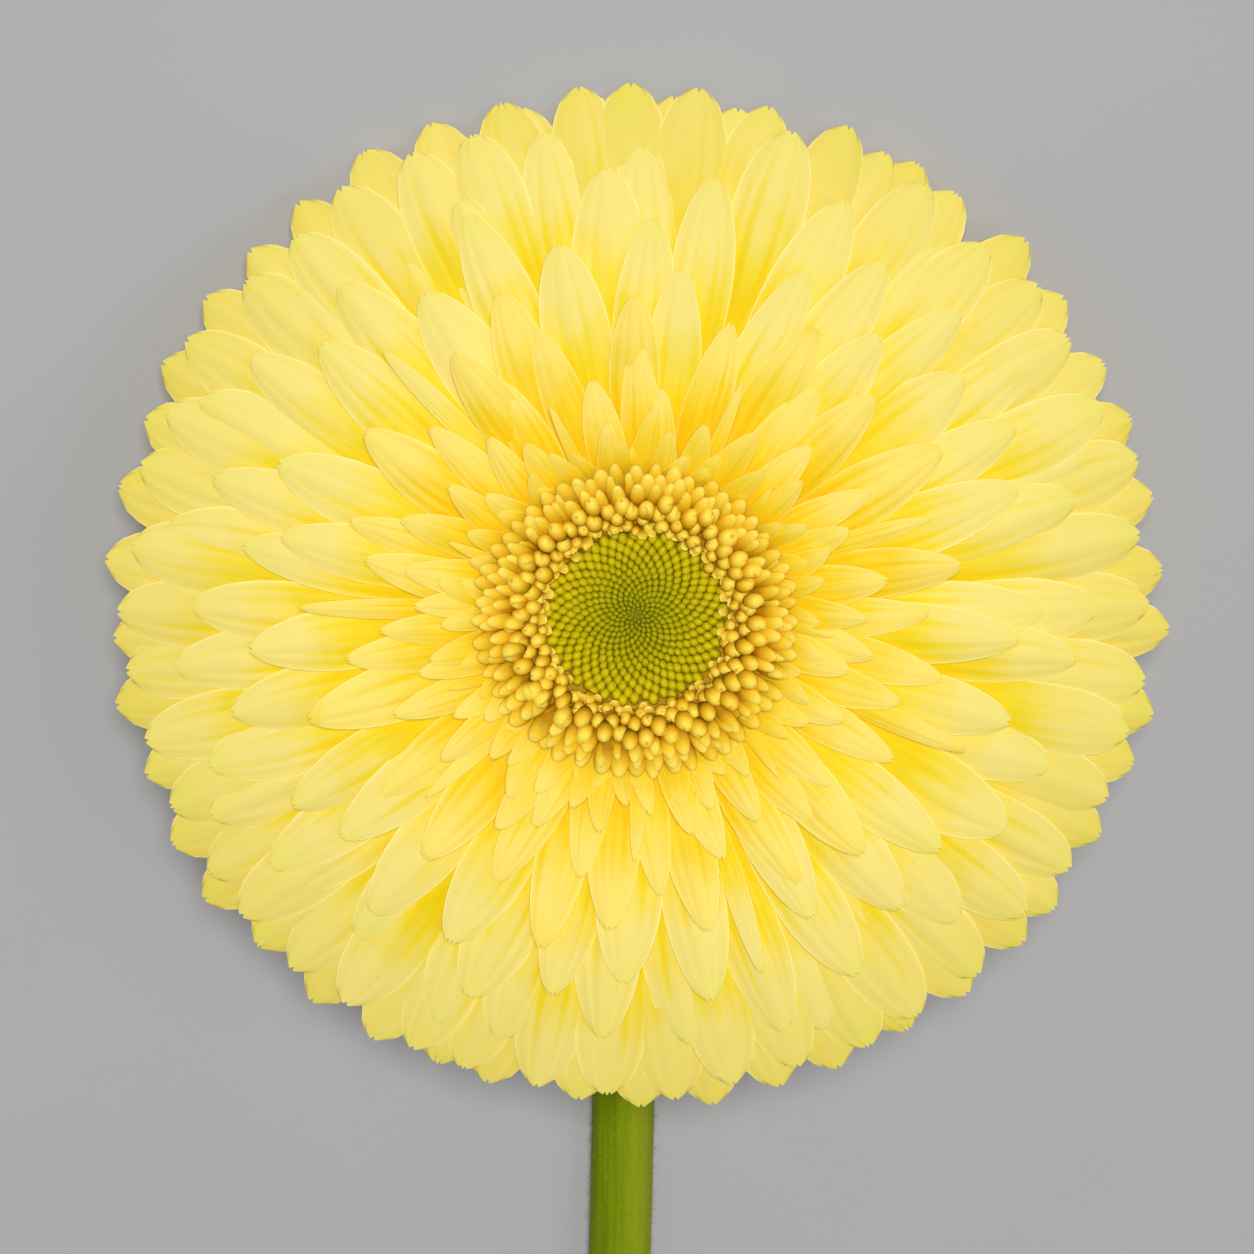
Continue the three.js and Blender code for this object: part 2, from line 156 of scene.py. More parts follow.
@dataclass(frozen=True)
class PetalFinish:
    """Fresh petal tissue: thin, soft and waxy, so light goes into it and comes out warmer; a faint painted
    glow stands in for that light.
    """

    name: str
    end: str
    blade: str
    body: str
    throat: str
    crease: str
    margin: str
    deep: str
    # glow and glow_strength give the painted glow that stands in for light through the strap
    glow: str
    crease_strength: float = 0.85
    margin_start: float = 0.92
    margin_strength: float = 0.42
    width_mm: float = 7.0
    fade_mm: float = 12.0
    vein_gap_mm: float = 0.6
    glow_strength: float = 0.1

    def material(self) -> bpy.types.Material:
        """Returns the material.

        It reads the strap's own UV map, U across and V from the tip down to the throat, and its tone,
        depth and phase attributes.
        """
        material, tree, shader = start_material(self.name)
        uv = add_node(tree, "ShaderNodeUVMap", uv_map="UVMap")
        place = add_node(tree, "ShaderNodeSeparateXYZ", {0: uv.outputs[0]})
        tone = add_node(tree, "ShaderNodeAttribute", attribute_name="tone")
        depth = add_node(tree, "ShaderNodeAttribute", attribute_name="depth")
        # Soft clouds a few millimetres across keep the colour from being even
        where = add_node(tree, "ShaderNodeTexCoord")
        clouds = add_node(
            tree, "ShaderNodeTexNoise", {"Vector": where.outputs["Object"], "Scale": 1 / (6 * MM)}
        )
        drift = add_node(
            tree,
            "ShaderNodeMapRange",
            {
                "Value": clouds.outputs["Fac"],
                "From Min": 0.3,
                "From Max": 0.7,
                "To Min": -0.1,
                "To Max": 0.1,
            },
        )
        # Distance from the middle line, 0 to 1
        centred = add_node(
            tree, "ShaderNodeMath", {0: place.outputs["X"], 1: 0.5}, operation="SUBTRACT"
        )
        off_centre = add_node(tree, "ShaderNodeMath", {0: centred.outputs[0]}, operation="ABSOLUTE")
        sideways = add_node(
            tree, "ShaderNodeMath", {0: off_centre.outputs[0], 1: 2.0}, operation="MULTIPLY"
        )
        # Two pairs of folds run lengthwise, and meet at the end because the strap narrows there. Painted
        # shade in the crease colour darkens them
        folds = add_node(
            tree,
            "ShaderNodeValToRGB",
            {"Fac": sideways.outputs[0]},
            stops=[
                (0.0, "#8A8A8A"),
                (1.0, "#666666"),
                (0.2, "#222222"),
                (0.38, "#D8D8D8"),
                (0.56, "#222222"),
                (0.75, "#B4B4B4"),
                (0.9, "#333333"),
            ],
        )
        # Each strap draws its own part of the patterns
        phase = add_node(tree, "ShaderNodeAttribute", attribute_name="phase")
        own = add_node(
            tree, "ShaderNodeCombineXYZ", {"X": phase.outputs["Fac"], "Y": phase.outputs["Fac"]}
        )
        # Soft bands, a sixth of the width each, strengthen some folds and fade others
        wide = (6.0, self.fade_mm / 20, 1)
        broad = add_node(tree, "ShaderNodeMapping", {"Vector": uv.outputs[0], "Scale": wide})
        placed_bands = add_node(
            tree, "ShaderNodeVectorMath", {0: broad.outputs[0], 1: own.outputs[0]}, operation="ADD"
        )
        bands = add_node(
            tree,
            "ShaderNodeTexNoise",
            {"Vector": placed_bands.outputs[0], "Scale": 1.0, "Detail": 1.0},
            noise_dimensions="2D",
        )
        band_share = add_node(
            tree,
            "ShaderNodeMapRange",
            {"Value": bands.outputs["Fac"], "From Min": 0.35, "From Max": 0.65},
        )
        creases = add_node(
            tree,
            "ShaderNodeMath",
            {0: folds.outputs[0], 1: band_share.outputs[0]},
            operation="MULTIPLY",
        )
        # Veins, some half a millimetre apart, break the creases up
        cells = (self.width_mm / self.vein_gap_mm, self.fade_mm / 9, 1)
        stretched = add_node(tree, "ShaderNodeMapping", {"Vector": uv.outputs[0], "Scale": cells})
        placed_veins = add_node(
            tree, "ShaderNodeVectorMath", {0: stretched.outputs[0], 1: own.outputs[0]}, operation="ADD"
        )
        veins = add_node(
            tree,
            "ShaderNodeTexNoise",
            {"Vector": placed_veins.outputs[0], "Scale": 1.0, "Detail": 2.0, "Roughness": 0.55},
            noise_dimensions="2D",
        )
        # Colour along the strap: a greenish end, a pale blade and gold down in the throat, partly the
        # petal's own colour and partly painted shade where its neighbours cover it. The gold climbs higher
        # in the creases, as painted shade, and along the veins
        streaks = add_node(
            tree,
            "ShaderNodeMath",
            {0: veins.outputs["Fac"], 1: 0.3, 2: 0.72},
            operation="MULTIPLY_ADD",
        )
        climbs = add_node(
            tree,
            "ShaderNodeMath",
            {0: creases.outputs[0], 1: 0.75, 2: streaks.outputs[0]},
            operation="MULTIPLY_ADD",
        )
        spread = add_node(
            tree,
            "ShaderNodeMath",
            {0: place.outputs["Y"], 1: climbs.outputs[0], 2: tone.outputs["Fac"]},
            operation="MULTIPLY_ADD",
        )
        along = add_node(
            tree, "ShaderNodeMath", {0: spread.outputs[0], 1: drift.outputs[0]}, operation="ADD"
        )
        ramp = add_node(
            tree,
            "ShaderNodeValToRGB",
            {"Fac": along.outputs[0]},
            stops=[
                (0.0, self.end),
                (1.0, self.throat),
                (0.14, self.blade),
                (0.36, self.blade),
                (0.74, self.body),
            ],
        )
        # Painted shade: multiplied towards the deep colour by the depth value, darker and greener on the
        # outermost rays at the rim; on the bracts the depth value is a random tone, on the cup a fixed one
        deep_tinted = add_node(
            tree,
            "ShaderNodeMix",
            {"Factor": depth.outputs["Fac"], "A": ramp.outputs[0], "B": linear(self.deep)},
            data_type="RGBA",
            blend_type="MULTIPLY",
        )
        # Painted shade in the folds: the crease colour, broken up by the veins
        vein_share = add_node(
            tree,
            "ShaderNodeMapRange",
            {
                "Value": veins.outputs["Fac"],
                "From Min": 0.3,
                "From Max": 0.7,
                "To Min": 0.3 * self.crease_strength,
                "To Max": self.crease_strength,
            },
        )
        crease_share = add_node(
            tree,
            "ShaderNodeMath",
            {0: creases.outputs[0], 1: vein_share.outputs[0]},
            operation="MULTIPLY",
        )
        veined = add_node(
            tree,
            "ShaderNodeMix",
            {"Factor": crease_share.outputs[0], "A": deep_tinted.outputs["Result"], "B": linear(self.crease)},
            data_type="RGBA",
        )
        # The margin is thinner than the rest and shows as a pale line: partly its own paler colour, partly
        # painted light coming through the thin edge
        rim = add_node(
            tree,
            "ShaderNodeMapRange",
            {
                "Value": sideways.outputs[0],
                "From Min": self.margin_start,
                "From Max": 0.985,
                "To Max": self.margin_strength,
            },
        )
        edged = add_node(
            tree,
            "ShaderNodeMix",
            {"Factor": rim.outputs[0], "A": veined.outputs["Result"], "B": linear(self.margin)},
            data_type="RGBA",
        )
        bump = add_node(
            tree,
            "ShaderNodeBump",
            {"Height": veins.outputs["Fac"], "Strength": 0.25, "Distance": 0.06 * MM},
        )
        tree.links.new(edged.outputs["Result"], shader.inputs["Base Color"])
        tree.links.new(bump.outputs[0], shader.inputs["Normal"])
        shader.inputs["Roughness"].default_value = 0.7
        shader.inputs["Specular IOR Level"].default_value = 0.12
        # Painted glow: emission that stands in for light coming through the strap from behind and from its
        # neighbours
        shader.inputs["Emission Color"].default_value = linear(self.glow)
        shader.inputs["Emission Strength"].default_value = self.glow_strength
        return material


@dataclass(frozen=True)
class BeadFinish:
    """Closed florets: plump, waxy beads, with painted shade at the foot and painted light on the crest, and
    a curved seam or a small mouth on top drawn in painted shade.
    """

    name: str
    foot: str
    body: str
    crest: str
    seam: str
    deep: str
    seam_strength: float = 0.75
    roughness: float = 0.6
    gloss: float = 0.12

    def material(self) -> bpy.types.Material:
        """Returns the material.

        It reads each bead's own UV map, which is laid on it from above, and its rise, tone, depth and
        fold attributes.
        """
        material, tree, shader = start_material(self.name)
        uv = add_node(tree, "ShaderNodeUVMap", uv_map="UVMap")
        place = add_node(tree, "ShaderNodeSeparateXYZ", {0: uv.outputs[0]})
        rise = add_node(tree, "ShaderNodeAttribute", attribute_name="rise")
        tone = add_node(tree, "ShaderNodeAttribute", attribute_name="tone")
        depth = add_node(tree, "ShaderNodeAttribute", attribute_name="depth")
        fold = add_node(tree, "ShaderNodeAttribute", attribute_name="fold")
        up = add_node(
            tree, "ShaderNodeMath", {0: rise.outputs["Fac"], 1: tone.outputs["Fac"]}, operation="ADD"
        )
        # Painted light and shade: pale on the crest where the light falls, dark at the foot where the beads
        # shade each other
        ramp = add_node(
            tree,
            "ShaderNodeValToRGB",
            {"Fac": up.outputs[0]},
            stops=[(0.4, self.foot), (1.0, self.crest), (0.74, self.body)],
        )
        # Buds with a depth value are mixed towards the deep colour: darker towards the middle of the disc
        deep_tinted = add_node(
            tree,
            "ShaderNodeMix",
            {"Factor": depth.outputs["Fac"], "A": ramp.outputs[0], "B": linear(self.deep)},
            data_type="RGBA",
        )
        # The seam is an arc over the crest, a tenth of the bead wide, drawn in painted shade
        squared = add_node(
            tree, "ShaderNodeMath", {0: place.outputs["Y"], 1: place.outputs["Y"]}, operation="MULTIPLY"
        )
        arc = add_node(
            tree,
            "ShaderNodeMath",
            {0: squared.outputs[0], 1: -0.7, 2: 0.22},
            operation="MULTIPLY_ADD",
        )
        from_arc = add_node(
            tree, "ShaderNodeMath", {0: place.outputs["X"], 1: arc.outputs[0]}, operation="SUBTRACT"
        )
        away = add_node(tree, "ShaderNodeMath", {0: from_arc.outputs[0]}, operation="ABSOLUTE")
        line = add_node(
            tree,
            "ShaderNodeMapRange",
            {
                "Value": away.outputs[0],
                "From Min": 0.0,
                "From Max": 0.22,
                "To Min": self.seam_strength,
                "To Max": 0.0,
            },
            interpolation_type="SMOOTHSTEP",
        )
        # It runs from the middle of the crest down one flank, and not every bead shows it
        ends = add_node(
            tree,
            "ShaderNodeMapRange",
            {"Value": place.outputs["Y"], "From Min": -0.2, "From Max": 0.15},
        )
        crescent = add_node(
            tree, "ShaderNodeMath", {0: line.outputs[0], 1: ends.outputs[0]}, operation="MULTIPLY"
        )
        folded = add_node(
            tree, "ShaderNodeMath", {0: crescent.outputs[0], 1: fold.outputs["Fac"]}, operation="MULTIPLY"
        )
        # The others have a small mouth, a fifth of the bead wide, dark with painted shade
        from_mouth = add_node(
            tree,
            "ShaderNodeVectorMath",
            {0: uv.outputs[0], 1: (0.14, 0.06, 0.0)},
            operation="DISTANCE",
        )
        mouth = add_node(
            tree,
            "ShaderNodeMapRange",
            {
                "Value": from_mouth.outputs["Value"],
                "From Min": 0.1,
                "From Max": 0.26,
                "To Min": 1.0,
                "To Max": 0.0,
            },
        )
        unfolded = add_node(
            tree,
            "ShaderNodeMapRange",
            {
                "Value": fold.outputs["Fac"],
                "From Min": 0.15,
                "From Max": 0.4,
                "To Min": self.seam_strength,
                "To Max": 0.0,
            },
        )
        dotted = add_node(
            tree, "ShaderNodeMath", {0: mouth.outputs[0], 1: unfolded.outputs[0]}, operation="MULTIPLY"
        )
        shown = add_node(
            tree, "ShaderNodeMath", {0: folded.outputs[0], 1: dotted.outputs[0]}, operation="MAXIMUM"
        )
        # Painted shade in the seam and the mouth
        seamed = add_node(
            tree,
            "ShaderNodeMix",
            {"Factor": shown.outputs[0], "A": deep_tinted.outputs["Result"], "B": linear(self.seam)},
            data_type="RGBA",
        )
        # Fine mealy grain of the surface, drawn at a quarter of a millimetre so that it shows
        where = add_node(tree, "ShaderNodeTexCoord")
        grain = add_node(
            tree,
            "ShaderNodeTexNoise",
            {"Vector": where.outputs["Object"], "Scale": 1 / (0.25 * MM), "Detail": 1.0},
        )
        speckle = add_node(
            tree,
            "ShaderNodeMapRange",
            {
                "Value": grain.outputs["Fac"],
                "From Min": 0.35,
                "From Max": 0.65,
                "To Min": 0.94,
                "To Max": 1.04,
            },
        )
        mottled = add_node(
            tree,
            "ShaderNodeMix",
            {"Factor": 1.0, "A": seamed.outputs["Result"], "B": speckle.outputs[0]},
            data_type="RGBA",
            blend_type="MULTIPLY",
        )
        # One side of the seam tucks in under the other
        tucked = add_node(
            tree,
            "ShaderNodeMapRange",
            {"Value": from_arc.outputs[0], "From Min": -0.08, "From Max": 0.14},
        )
        tucked_flank = add_node(
            tree, "ShaderNodeMath", {0: tucked.outputs[0], 1: ends.outputs[0]}, operation="MULTIPLY"
        )
        lip = add_node(
            tree,
            "ShaderNodeMath",
            {0: tucked_flank.outputs[0], 1: fold.outputs["Fac"]},
            operation="MULTIPLY",
        )
        stepped = add_node(
            tree,
            "ShaderNodeMath",
            {0: lip.outputs[0], 1: -2.2, 2: grain.outputs["Fac"]},
            operation="MULTIPLY_ADD",
        )
        lowered = add_node(
            tree,
            "ShaderNodeMath",
            {0: shown.outputs[0], 1: -2.5, 2: stepped.outputs[0]},
            operation="MULTIPLY_ADD",
        )
        bump = add_node(
            tree,
            "ShaderNodeBump",
            {"Height": lowered.outputs[0], "Strength": 0.4, "Distance": 0.06 * MM},
        )
        tree.links.new(mottled.outputs["Result"], shader.inputs["Base Color"])
        tree.links.new(bump.outputs[0], shader.inputs["Normal"])
        shader.inputs["Roughness"].default_value = self.roughness
        shader.inputs["Specular IOR Level"].default_value = self.gloss
        shader.inputs["Subsurface Weight"].default_value = 0.2
        shader.inputs["Subsurface Radius"].default_value = (1.0, 0.8, 0.1)
        shader.inputs["Subsurface Scale"].default_value = 0.6 * MM
        return material


@dataclass(frozen=True)
class StalkFinish:
    """Fresh green stalk: satin skin over firm wet tissue, streaked lengthwise, with pale specks."""

    name: str = "Fresh green stalk skin"
    skin: str = "#728800"
    streak: str = "#7E9404"
    shade: str = "#677D00"
    speck: str = "#94A22C"
    # Pale colour of the painted light on the right flank
    lit_flank: str = "#ACB62A"
    pith: str = "#DCE2B4"
    strands: str = "#A9BC62"
    rind: str = "#7E9A1C"
    cut_y_mm: float = -329.9
    cut_middle_mm: tuple[float, float, float] = (0.0, -330.0, 3.96)
    cut_radius_mm: float = 4.1

    def material(self) -> bpy.types.Material:
        """Returns the material, on Object coordinates, because the stalk lies along Y."""
        material, tree, shader = start_material(self.name)
        where = add_node(tree, "ShaderNodeTexCoord")
        spot = add_node(tree, "ShaderNodeSeparateXYZ", {0: where.outputs["Object"]})
        # Streaks about 0.6 mm wide and 20 mm long
        stretched = add_node(
            tree,
            "ShaderNodeMapping",
            {
                "Vector": where.outputs["Object"],
                "Scale": (1 / (0.6 * MM), 1 / (20 * MM), 1 / (0.6 * MM)),
            },
        )
        streaks = add_node(
            tree, "ShaderNodeTexNoise", {"Vector": stretched.outputs[0], "Scale": 1.0, "Detail": 3.0}
        )
        ramp = add_node(
            tree,
            "ShaderNodeValToRGB",
            {"Fac": streaks.outputs["Fac"]},
            stops=[(0.3, self.shade), (0.72, self.streak), (0.5, self.skin)],
        )
        cells = add_node(
            tree,
            "ShaderNodeTexVoronoi",
            {"Vector": where.outputs["Object"], "Scale": 1 / (1.3 * MM)},
            feature="F1",
        )
        specks = add_node(
            tree,
            "ShaderNodeMapRange",
            {
                "Value": cells.outputs["Distance"],
                "From Min": 0.1,
                "From Max": 0.22,
                "To Min": 0.45,
                "To Max": 0.0,
            },
        )
        speckled = add_node(
            tree,
            "ShaderNodeMix",
            {"Factor": specks.outputs[0], "A": ramp.outputs[0], "B": linear(self.speck)},
            data_type="RGBA",
        )
        is_cut = add_node(
            tree,
            "ShaderNodeMath",
            {0: spot.outputs["Y"], 1: self.cut_y_mm * MM},
            operation="LESS_THAN",
        )
        # The cut shows pale pith, a ring of strands and the green rind
        from_middle = add_node(
            tree,
            "ShaderNodeVectorMath",
            {0: where.outputs["Object"], 1: tuple(value * MM for value in self.cut_middle_mm)},
            operation="DISTANCE",
        )
        out_share = add_node(
            tree,
            "ShaderNodeMath",
            {0: from_middle.outputs["Value"], 1: self.cut_radius_mm * MM},
            operation="DIVIDE",
        )
        cut = add_node(
            tree,
            "ShaderNodeValToRGB",
            {"Fac": out_share.outputs[0]},
            stops=[
                (0.3, self.pith),
                (0.96, self.rind),
                (0.6, self.pith),
                (0.74, self.strands),
                (0.84, self.pith),
            ],
        )
        # Painted light: the right flank is paler, as if lit from the right; U runs once round from the
        # right
        uv = add_node(tree, "ShaderNodeUVMap", uv_map="UVMap")
        round_it = add_node(tree, "ShaderNodeSeparateXYZ", {0: uv.outputs[0]})
        lit_flank = add_node(
            tree,
            "ShaderNodeValToRGB",
            {"Fac": round_it.outputs["X"]},
            stops=[
                (0.0, "#FFFFFF"),
                (1.0, "#FFFFFF"),
                (0.12, "#FFFFFF"),
                (0.3, "#555555"),
                (0.5, "#000000"),
                (0.8, "#555555"),
            ],
        )
        lit_share = add_node(
            tree, "ShaderNodeMath", {0: lit_flank.outputs[0], 1: 0.5}, operation="MULTIPLY"
        )
        flanked = add_node(
            tree,
            "ShaderNodeMix",
            {"Factor": lit_share.outputs[0], "A": speckled.outputs["Result"], "B": linear(self.lit_flank)},
            data_type="RGBA",
        )
        whole = add_node(
            tree,
            "ShaderNodeMix",
            {"Factor": is_cut.outputs[0], "A": flanked.outputs["Result"], "B": cut.outputs[0]},
            data_type="RGBA",
        )
        bump = add_node(
            tree,
            "ShaderNodeBump",
            {"Height": streaks.outputs["Fac"], "Strength": 0.3, "Distance": 0.08 * MM},
        )
        tree.links.new(whole.outputs["Result"], shader.inputs["Base Color"])
        tree.links.new(bump.outputs[0], shader.inputs["Normal"])
        shader.inputs["Roughness"].default_value = 0.6
        shader.inputs["Specular IOR Level"].default_value = 0.06
        shader.inputs["Subsurface Weight"].default_value = 0.15
        shader.inputs["Subsurface Radius"].default_value = (0.6, 1.0, 0.2)
        shader.inputs["Subsurface Scale"].default_value = 1.0 * MM
        return material


@dataclass(frozen=True)
class DownFinish:
    """Plant hairs: colourless and fine, so they take the light and look pale grey-green."""

    name: str = "Pale plant down"
    colour: str = "#A6B44A"
    root: str = "#869820"

    def material(self) -> bpy.types.Material:
        """Returns the material, paler in patches of a few millimetres."""
        material, tree, shader = start_material(self.name)
        where = add_node(tree, "ShaderNodeTexCoord")
        patches = add_node(
            tree, "ShaderNodeTexNoise", {"Vector": where.outputs["Object"], "Scale": 1 / (4 * MM)}
        )
        ramp = add_node(
            tree,
            "ShaderNodeValToRGB",
            {"Fac": patches.outputs["Fac"]},
            stops=[(0.35, self.root), (0.6, self.colour)],
        )
        tree.links.new(ramp.outputs[0], shader.inputs["Base Color"])
        shader.inputs["Roughness"].default_value = 0.7
        return material


@dataclass(frozen=True)
class FloorFinish:
    """Plain painted studio board: even, matt and pale grey."""

    name: str = "Matt grey studio board"
    colour: str = "#B5B5B7"
    fleck: str = "#B4B4B6"

    def material(self) -> bpy.types.Material:
        """Returns the material, with a barely seen mottle some centimetres across."""
        material, tree, shader = start_material(self.name)
        where = add_node(tree, "ShaderNodeTexCoord")
        mottle = add_node(
            tree, "ShaderNodeTexNoise", {"Vector": where.outputs["Object"], "Scale": 1 / (30 * MM)}
        )
        ramp = add_node(
            tree,
            "ShaderNodeValToRGB",
            {"Fac": mottle.outputs["Fac"]},
            stops=[(0.3, self.fleck), (0.7, self.colour)],
        )
        tree.links.new(ramp.outputs[0], shader.inputs["Base Color"])
        shader.inputs["Roughness"].default_value = 0.9
        shader.inputs["Specular IOR Level"].default_value = 0.1
        return material


@dataclass(frozen=True)
class Strap:
    """One floret's strap, or one bract: how it bends and how wide it is, in mm and radians.

    root, knee and tip are (radius, height) points on the head's axis frame that steer its middle line.
    """

    azimuth: float
    root: tuple[float, float]
    knee: tuple[float, float]
    tip: tuple[float, float]
    width: float
    thickness: float = 0.3
    roll: float = 0.0
    sideways: float = 0.0
    arch: float = 0.14
    folds: float = 0.12
    curl: float = 0.0
    end_length: float = 8.0
    end_power: float = 0.55
    end_width: float = 0.14
    foot_width: float = 0.35
    tip_style: Tip = Tip.TOOTHED
    tooth: float = 0.45
    fade: float = 12.0
    rests: bool = False
    tone: float = 0.0
    # depth: how far the deep colour is laid on, painted shade on the outermost rays and a random tone on
    # the bracts
    depth: float = 0.0
    phase: float = 0.0


@dataclass(frozen=True)
class Shaped:
    """What a copy of a blank becomes: its points in metres, and its points' UV and named values."""

    points: np.ndarray
    uv: np.ndarray
    values: dict[str, float | np.ndarray]


@dataclass
class Head:
    """The flower head's place, on the top of the neck and leaning away from the stem, and its straps' form.

    rib_lines are the (place, breadth, depth) of the folds that run lengthwise on each side of a strap,
    as shares of half its width and of its deepest fold. The other shares are of half a strap's width or
    of its thickness, and the lengths are in mm from its tip.
    """

    stem_radius: float = 3.6
    stem_sides: int = 12
    neck_start: float = 10.0
    neck_bend: float = 15.0
    neck_drift: float = 0.9
    tilt: float = math.radians(24)
    row_crowding: float = 1.7
    notch_share: float = 0.22
    bite_length: float = 1.4
    rib_lines: tuple[tuple[float, float, float], ...] = ((0.375, 0.14, 1.0), (0.75, 0.12, 0.6))
    margin_thinning: float = 0.88
    tip_thickness: float = 0.12
    thinning_length: float = 1.6

    @property
    def turn(self) -> float:
        """Returns how far the neck turns up from the table."""
        return math.pi / 2 - self.tilt

    @property
    def neck_top(self) -> Vector:
        """Returns the top of the neck, in mm."""
        start = self.stem_radius * math.cos(math.pi / self.stem_sides)
        along = self.neck_start + self.neck_bend * math.sin(self.turn)
        return Vector((self.neck_drift, along, start + self.neck_bend * (1 - math.cos(self.turn))))

    def to_table(self, points: np.ndarray) -> np.ndarray:
        """Returns points of the head's frame in the table's frame, both in mm."""
        turn = np.array(Matrix.Rotation(-self.tilt, 3, "X"))
        return points @ turn.T + np.array(self.neck_top)

    def lay(self, blank: np.ndarray, strap: Strap) -> Shaped:
        """Bends a flat blank to a strap's shape.

        Args:
            blank: (n, 3) points: -1 to 1 across, 0 to 1 along, 0 on top to -1 underneath.
            strap: what it becomes.

        Returns:
            The shape, on the table's frame.
        """
        across_share = blank[:, 0]
        t = 1 - (1 - blank[:, 1]) ** self.row_crowding
        s = 1 - t
        root, knee, tip = (np.array(point) for point in (strap.root, strap.knee, strap.tip))
        line = np.outer(s * s, root) + np.outer(2 * s * t, knee) + np.outer(t * t, tip)
        slope = np.outer(2 * s, knee - root) + np.outer(2 * t, tip - knee)
        slope /= np.linalg.norm(slope, axis=1)[:, None]
        length = (
            np.linalg.norm(knee - root) + np.linalg.norm(tip - knee) + np.linalg.norm(tip - root)
        ) / 2
        from_tip = s * length
        end = min(strap.end_length, length * 0.8)
        blunt = 1 - math.sqrt(1 - strap.end_width ** (1 / strap.end_power))
        near = blunt + (1 - blunt) * np.clip(from_tip / end, 0, 1)
        rounded = (1 - (1 - near) ** 2) ** strap.end_power
        narrowing = 1 - (1 - strap.foot_width) * smooth((from_tip - end) / (length - end))
        half = strap.width / 2 * rounded * narrowing
        # The very end is bitten back by the notches between its teeth
        notches = sum(
            (np.exp(-(((across_share - at) / self.notch_share) ** 2)) for at in strap.tip_style.value),
            np.zeros(len(blank)),
        )
        bite = (strap.tooth * notches + 0.5 * strap.tooth * across_share**4) * np.clip(
            1 - from_tip / self.bite_length, 0, 1
        )
        # Cross-section: arched, with soft folds lengthwise, and thinner at the margins
        ribs = sum(
            depth * np.exp(-(((np.abs(across_share) - at) / breadth) ** 2))
            for at, breadth, depth in self.rib_lines
        )
        height = -strap.arch * half * across_share**2
        height -= strap.folds * ribs * smooth(from_tip / 4) * (0.5 + 0.5 * half / strap.width)
        height += strap.curl * t**5
        thin = (1 - self.margin_thinning * across_share**4) * np.clip(
            self.tip_thickness + from_tip / self.thinning_length, 0, 1
        )
        height += blank[:, 2] * strap.thickness * thin
        side = across_share * half
        turn = strap.roll * (0.4 + 0.6 * t)
        sideways = side * np.cos(turn) - height * np.sin(turn) + strap.sideways * t * t
        lifted = side * np.sin(turn) + height * np.cos(turn)
        out = line[:, 0] - slope[:, 1] * lifted - slope[:, 0] * bite
        up = line[:, 1] + slope[:, 0] * lifted - slope[:, 1] * bite
        sin, cos = math.sin(strap.azimuth), math.cos(strap.azimuth)
        points = np.stack((sin * out + cos * sideways, cos * out - sin * sideways, up), axis=1)
        placed = self.to_table(points)
        if strap.rests:
            placed[:, 2] = np.maximum(placed[:, 2], (1 + blank[:, 2]) * strap.thickness)
        uv = np.stack(((across_share + 1) / 2, np.clip(from_tip / strap.fade, 0, 1)), axis=1)
        return Shaped(
            placed * MM, uv, {"tone": strap.tone, "depth": strap.depth, "phase": strap.phase}
        )


def deselect_all() -> None:
    """Leaves nothing selected, so that an operator acts on what comes next alone."""
    bpy.ops.object.select_all(action="DESELECT")


def flat_blank(name: str, columns: int, rows: int) -> bpy.types.Object:
    """Models the flat blank that a strap is bent from: a grid with a thickness.

    Args:
        name: the object's name.
        columns: faces across.
        rows: faces along.

    Returns:
        A closed slab, -1 to 1 across, 0 to 1 along and 0 to -1 deep, with a UV map.
    """
    deselect_all()
    bpy.ops.mesh.primitive_grid_add(
        x_subdivisions=columns, y_subdivisions=rows, size=2, calc_uvs=True
    )
    blank = bpy.context.object
    blank.name = name
    bpy.ops.object.mode_set(mode="EDIT")
    bpy.ops.mesh.select_all(action="SELECT")
    bpy.ops.transform.resize(value=(1, 0.5, 1))
    bpy.ops.transform.translate(value=(0, 0.5, 0))
    bpy.ops.object.mode_set(mode="OBJECT")
    slab = blank.modifiers.new("Thickness", "SOLIDIFY")
    slab.thickness = 1
    slab.offset = -1
    bpy.ops.object.modifier_apply(modifier=slab.name)
    bpy.ops.object.shade_smooth_by_angle(angle=math.radians(50))
    return blank


def points_of(obj: bpy.types.Object) -> np.ndarray:
    """Returns an object's mesh points, (n, 3)."""
    values = np.empty(len(obj.data.vertices) * 3)
    obj.data.vertices.foreach_get("co", values)
    return values.reshape(-1, 3)


def set_points(mesh: bpy.types.Mesh, points: np.ndarray) -> None:
    """Gives a mesh new points, (n, 3) or (copies, points of one, 3)."""
    mesh.vertices.foreach_set("co", points.astype(np.float32).ravel())


def set_values(mesh: bpy.types.Mesh, values: dict[str, float | np.ndarray]) -> None:
    """Adds named values to a mesh's points, for its material to read."""
    for name, value in values.items():
        attribute = mesh.attributes.new(name, "FLOAT", "POINT")
        attribute.data.foreach_set("value", np.full(len(mesh.vertices), value, np.float32))


def copy_shaped(blank: bpy.types.Object, shape: Shaped) -> bpy.types.Object:
    """Copies a blank with its own mesh, at its place, and returns the copy."""
    mesh = blank.data.copy()
    set_points(mesh, shape.points)
    corners = np.empty(len(mesh.loops), np.int32)
    mesh.loops.foreach_get("vertex_index", corners)
    mesh.uv_layers["UVMap"].data.foreach_set("uv", shape.uv[corners].astype(np.float32).ravel())
    set_values(mesh, shape.values)
    copy = bpy.data.objects.new(blank.name + "_copy", mesh)
    bpy.context.scene.collection.objects.link(copy)
    return copy


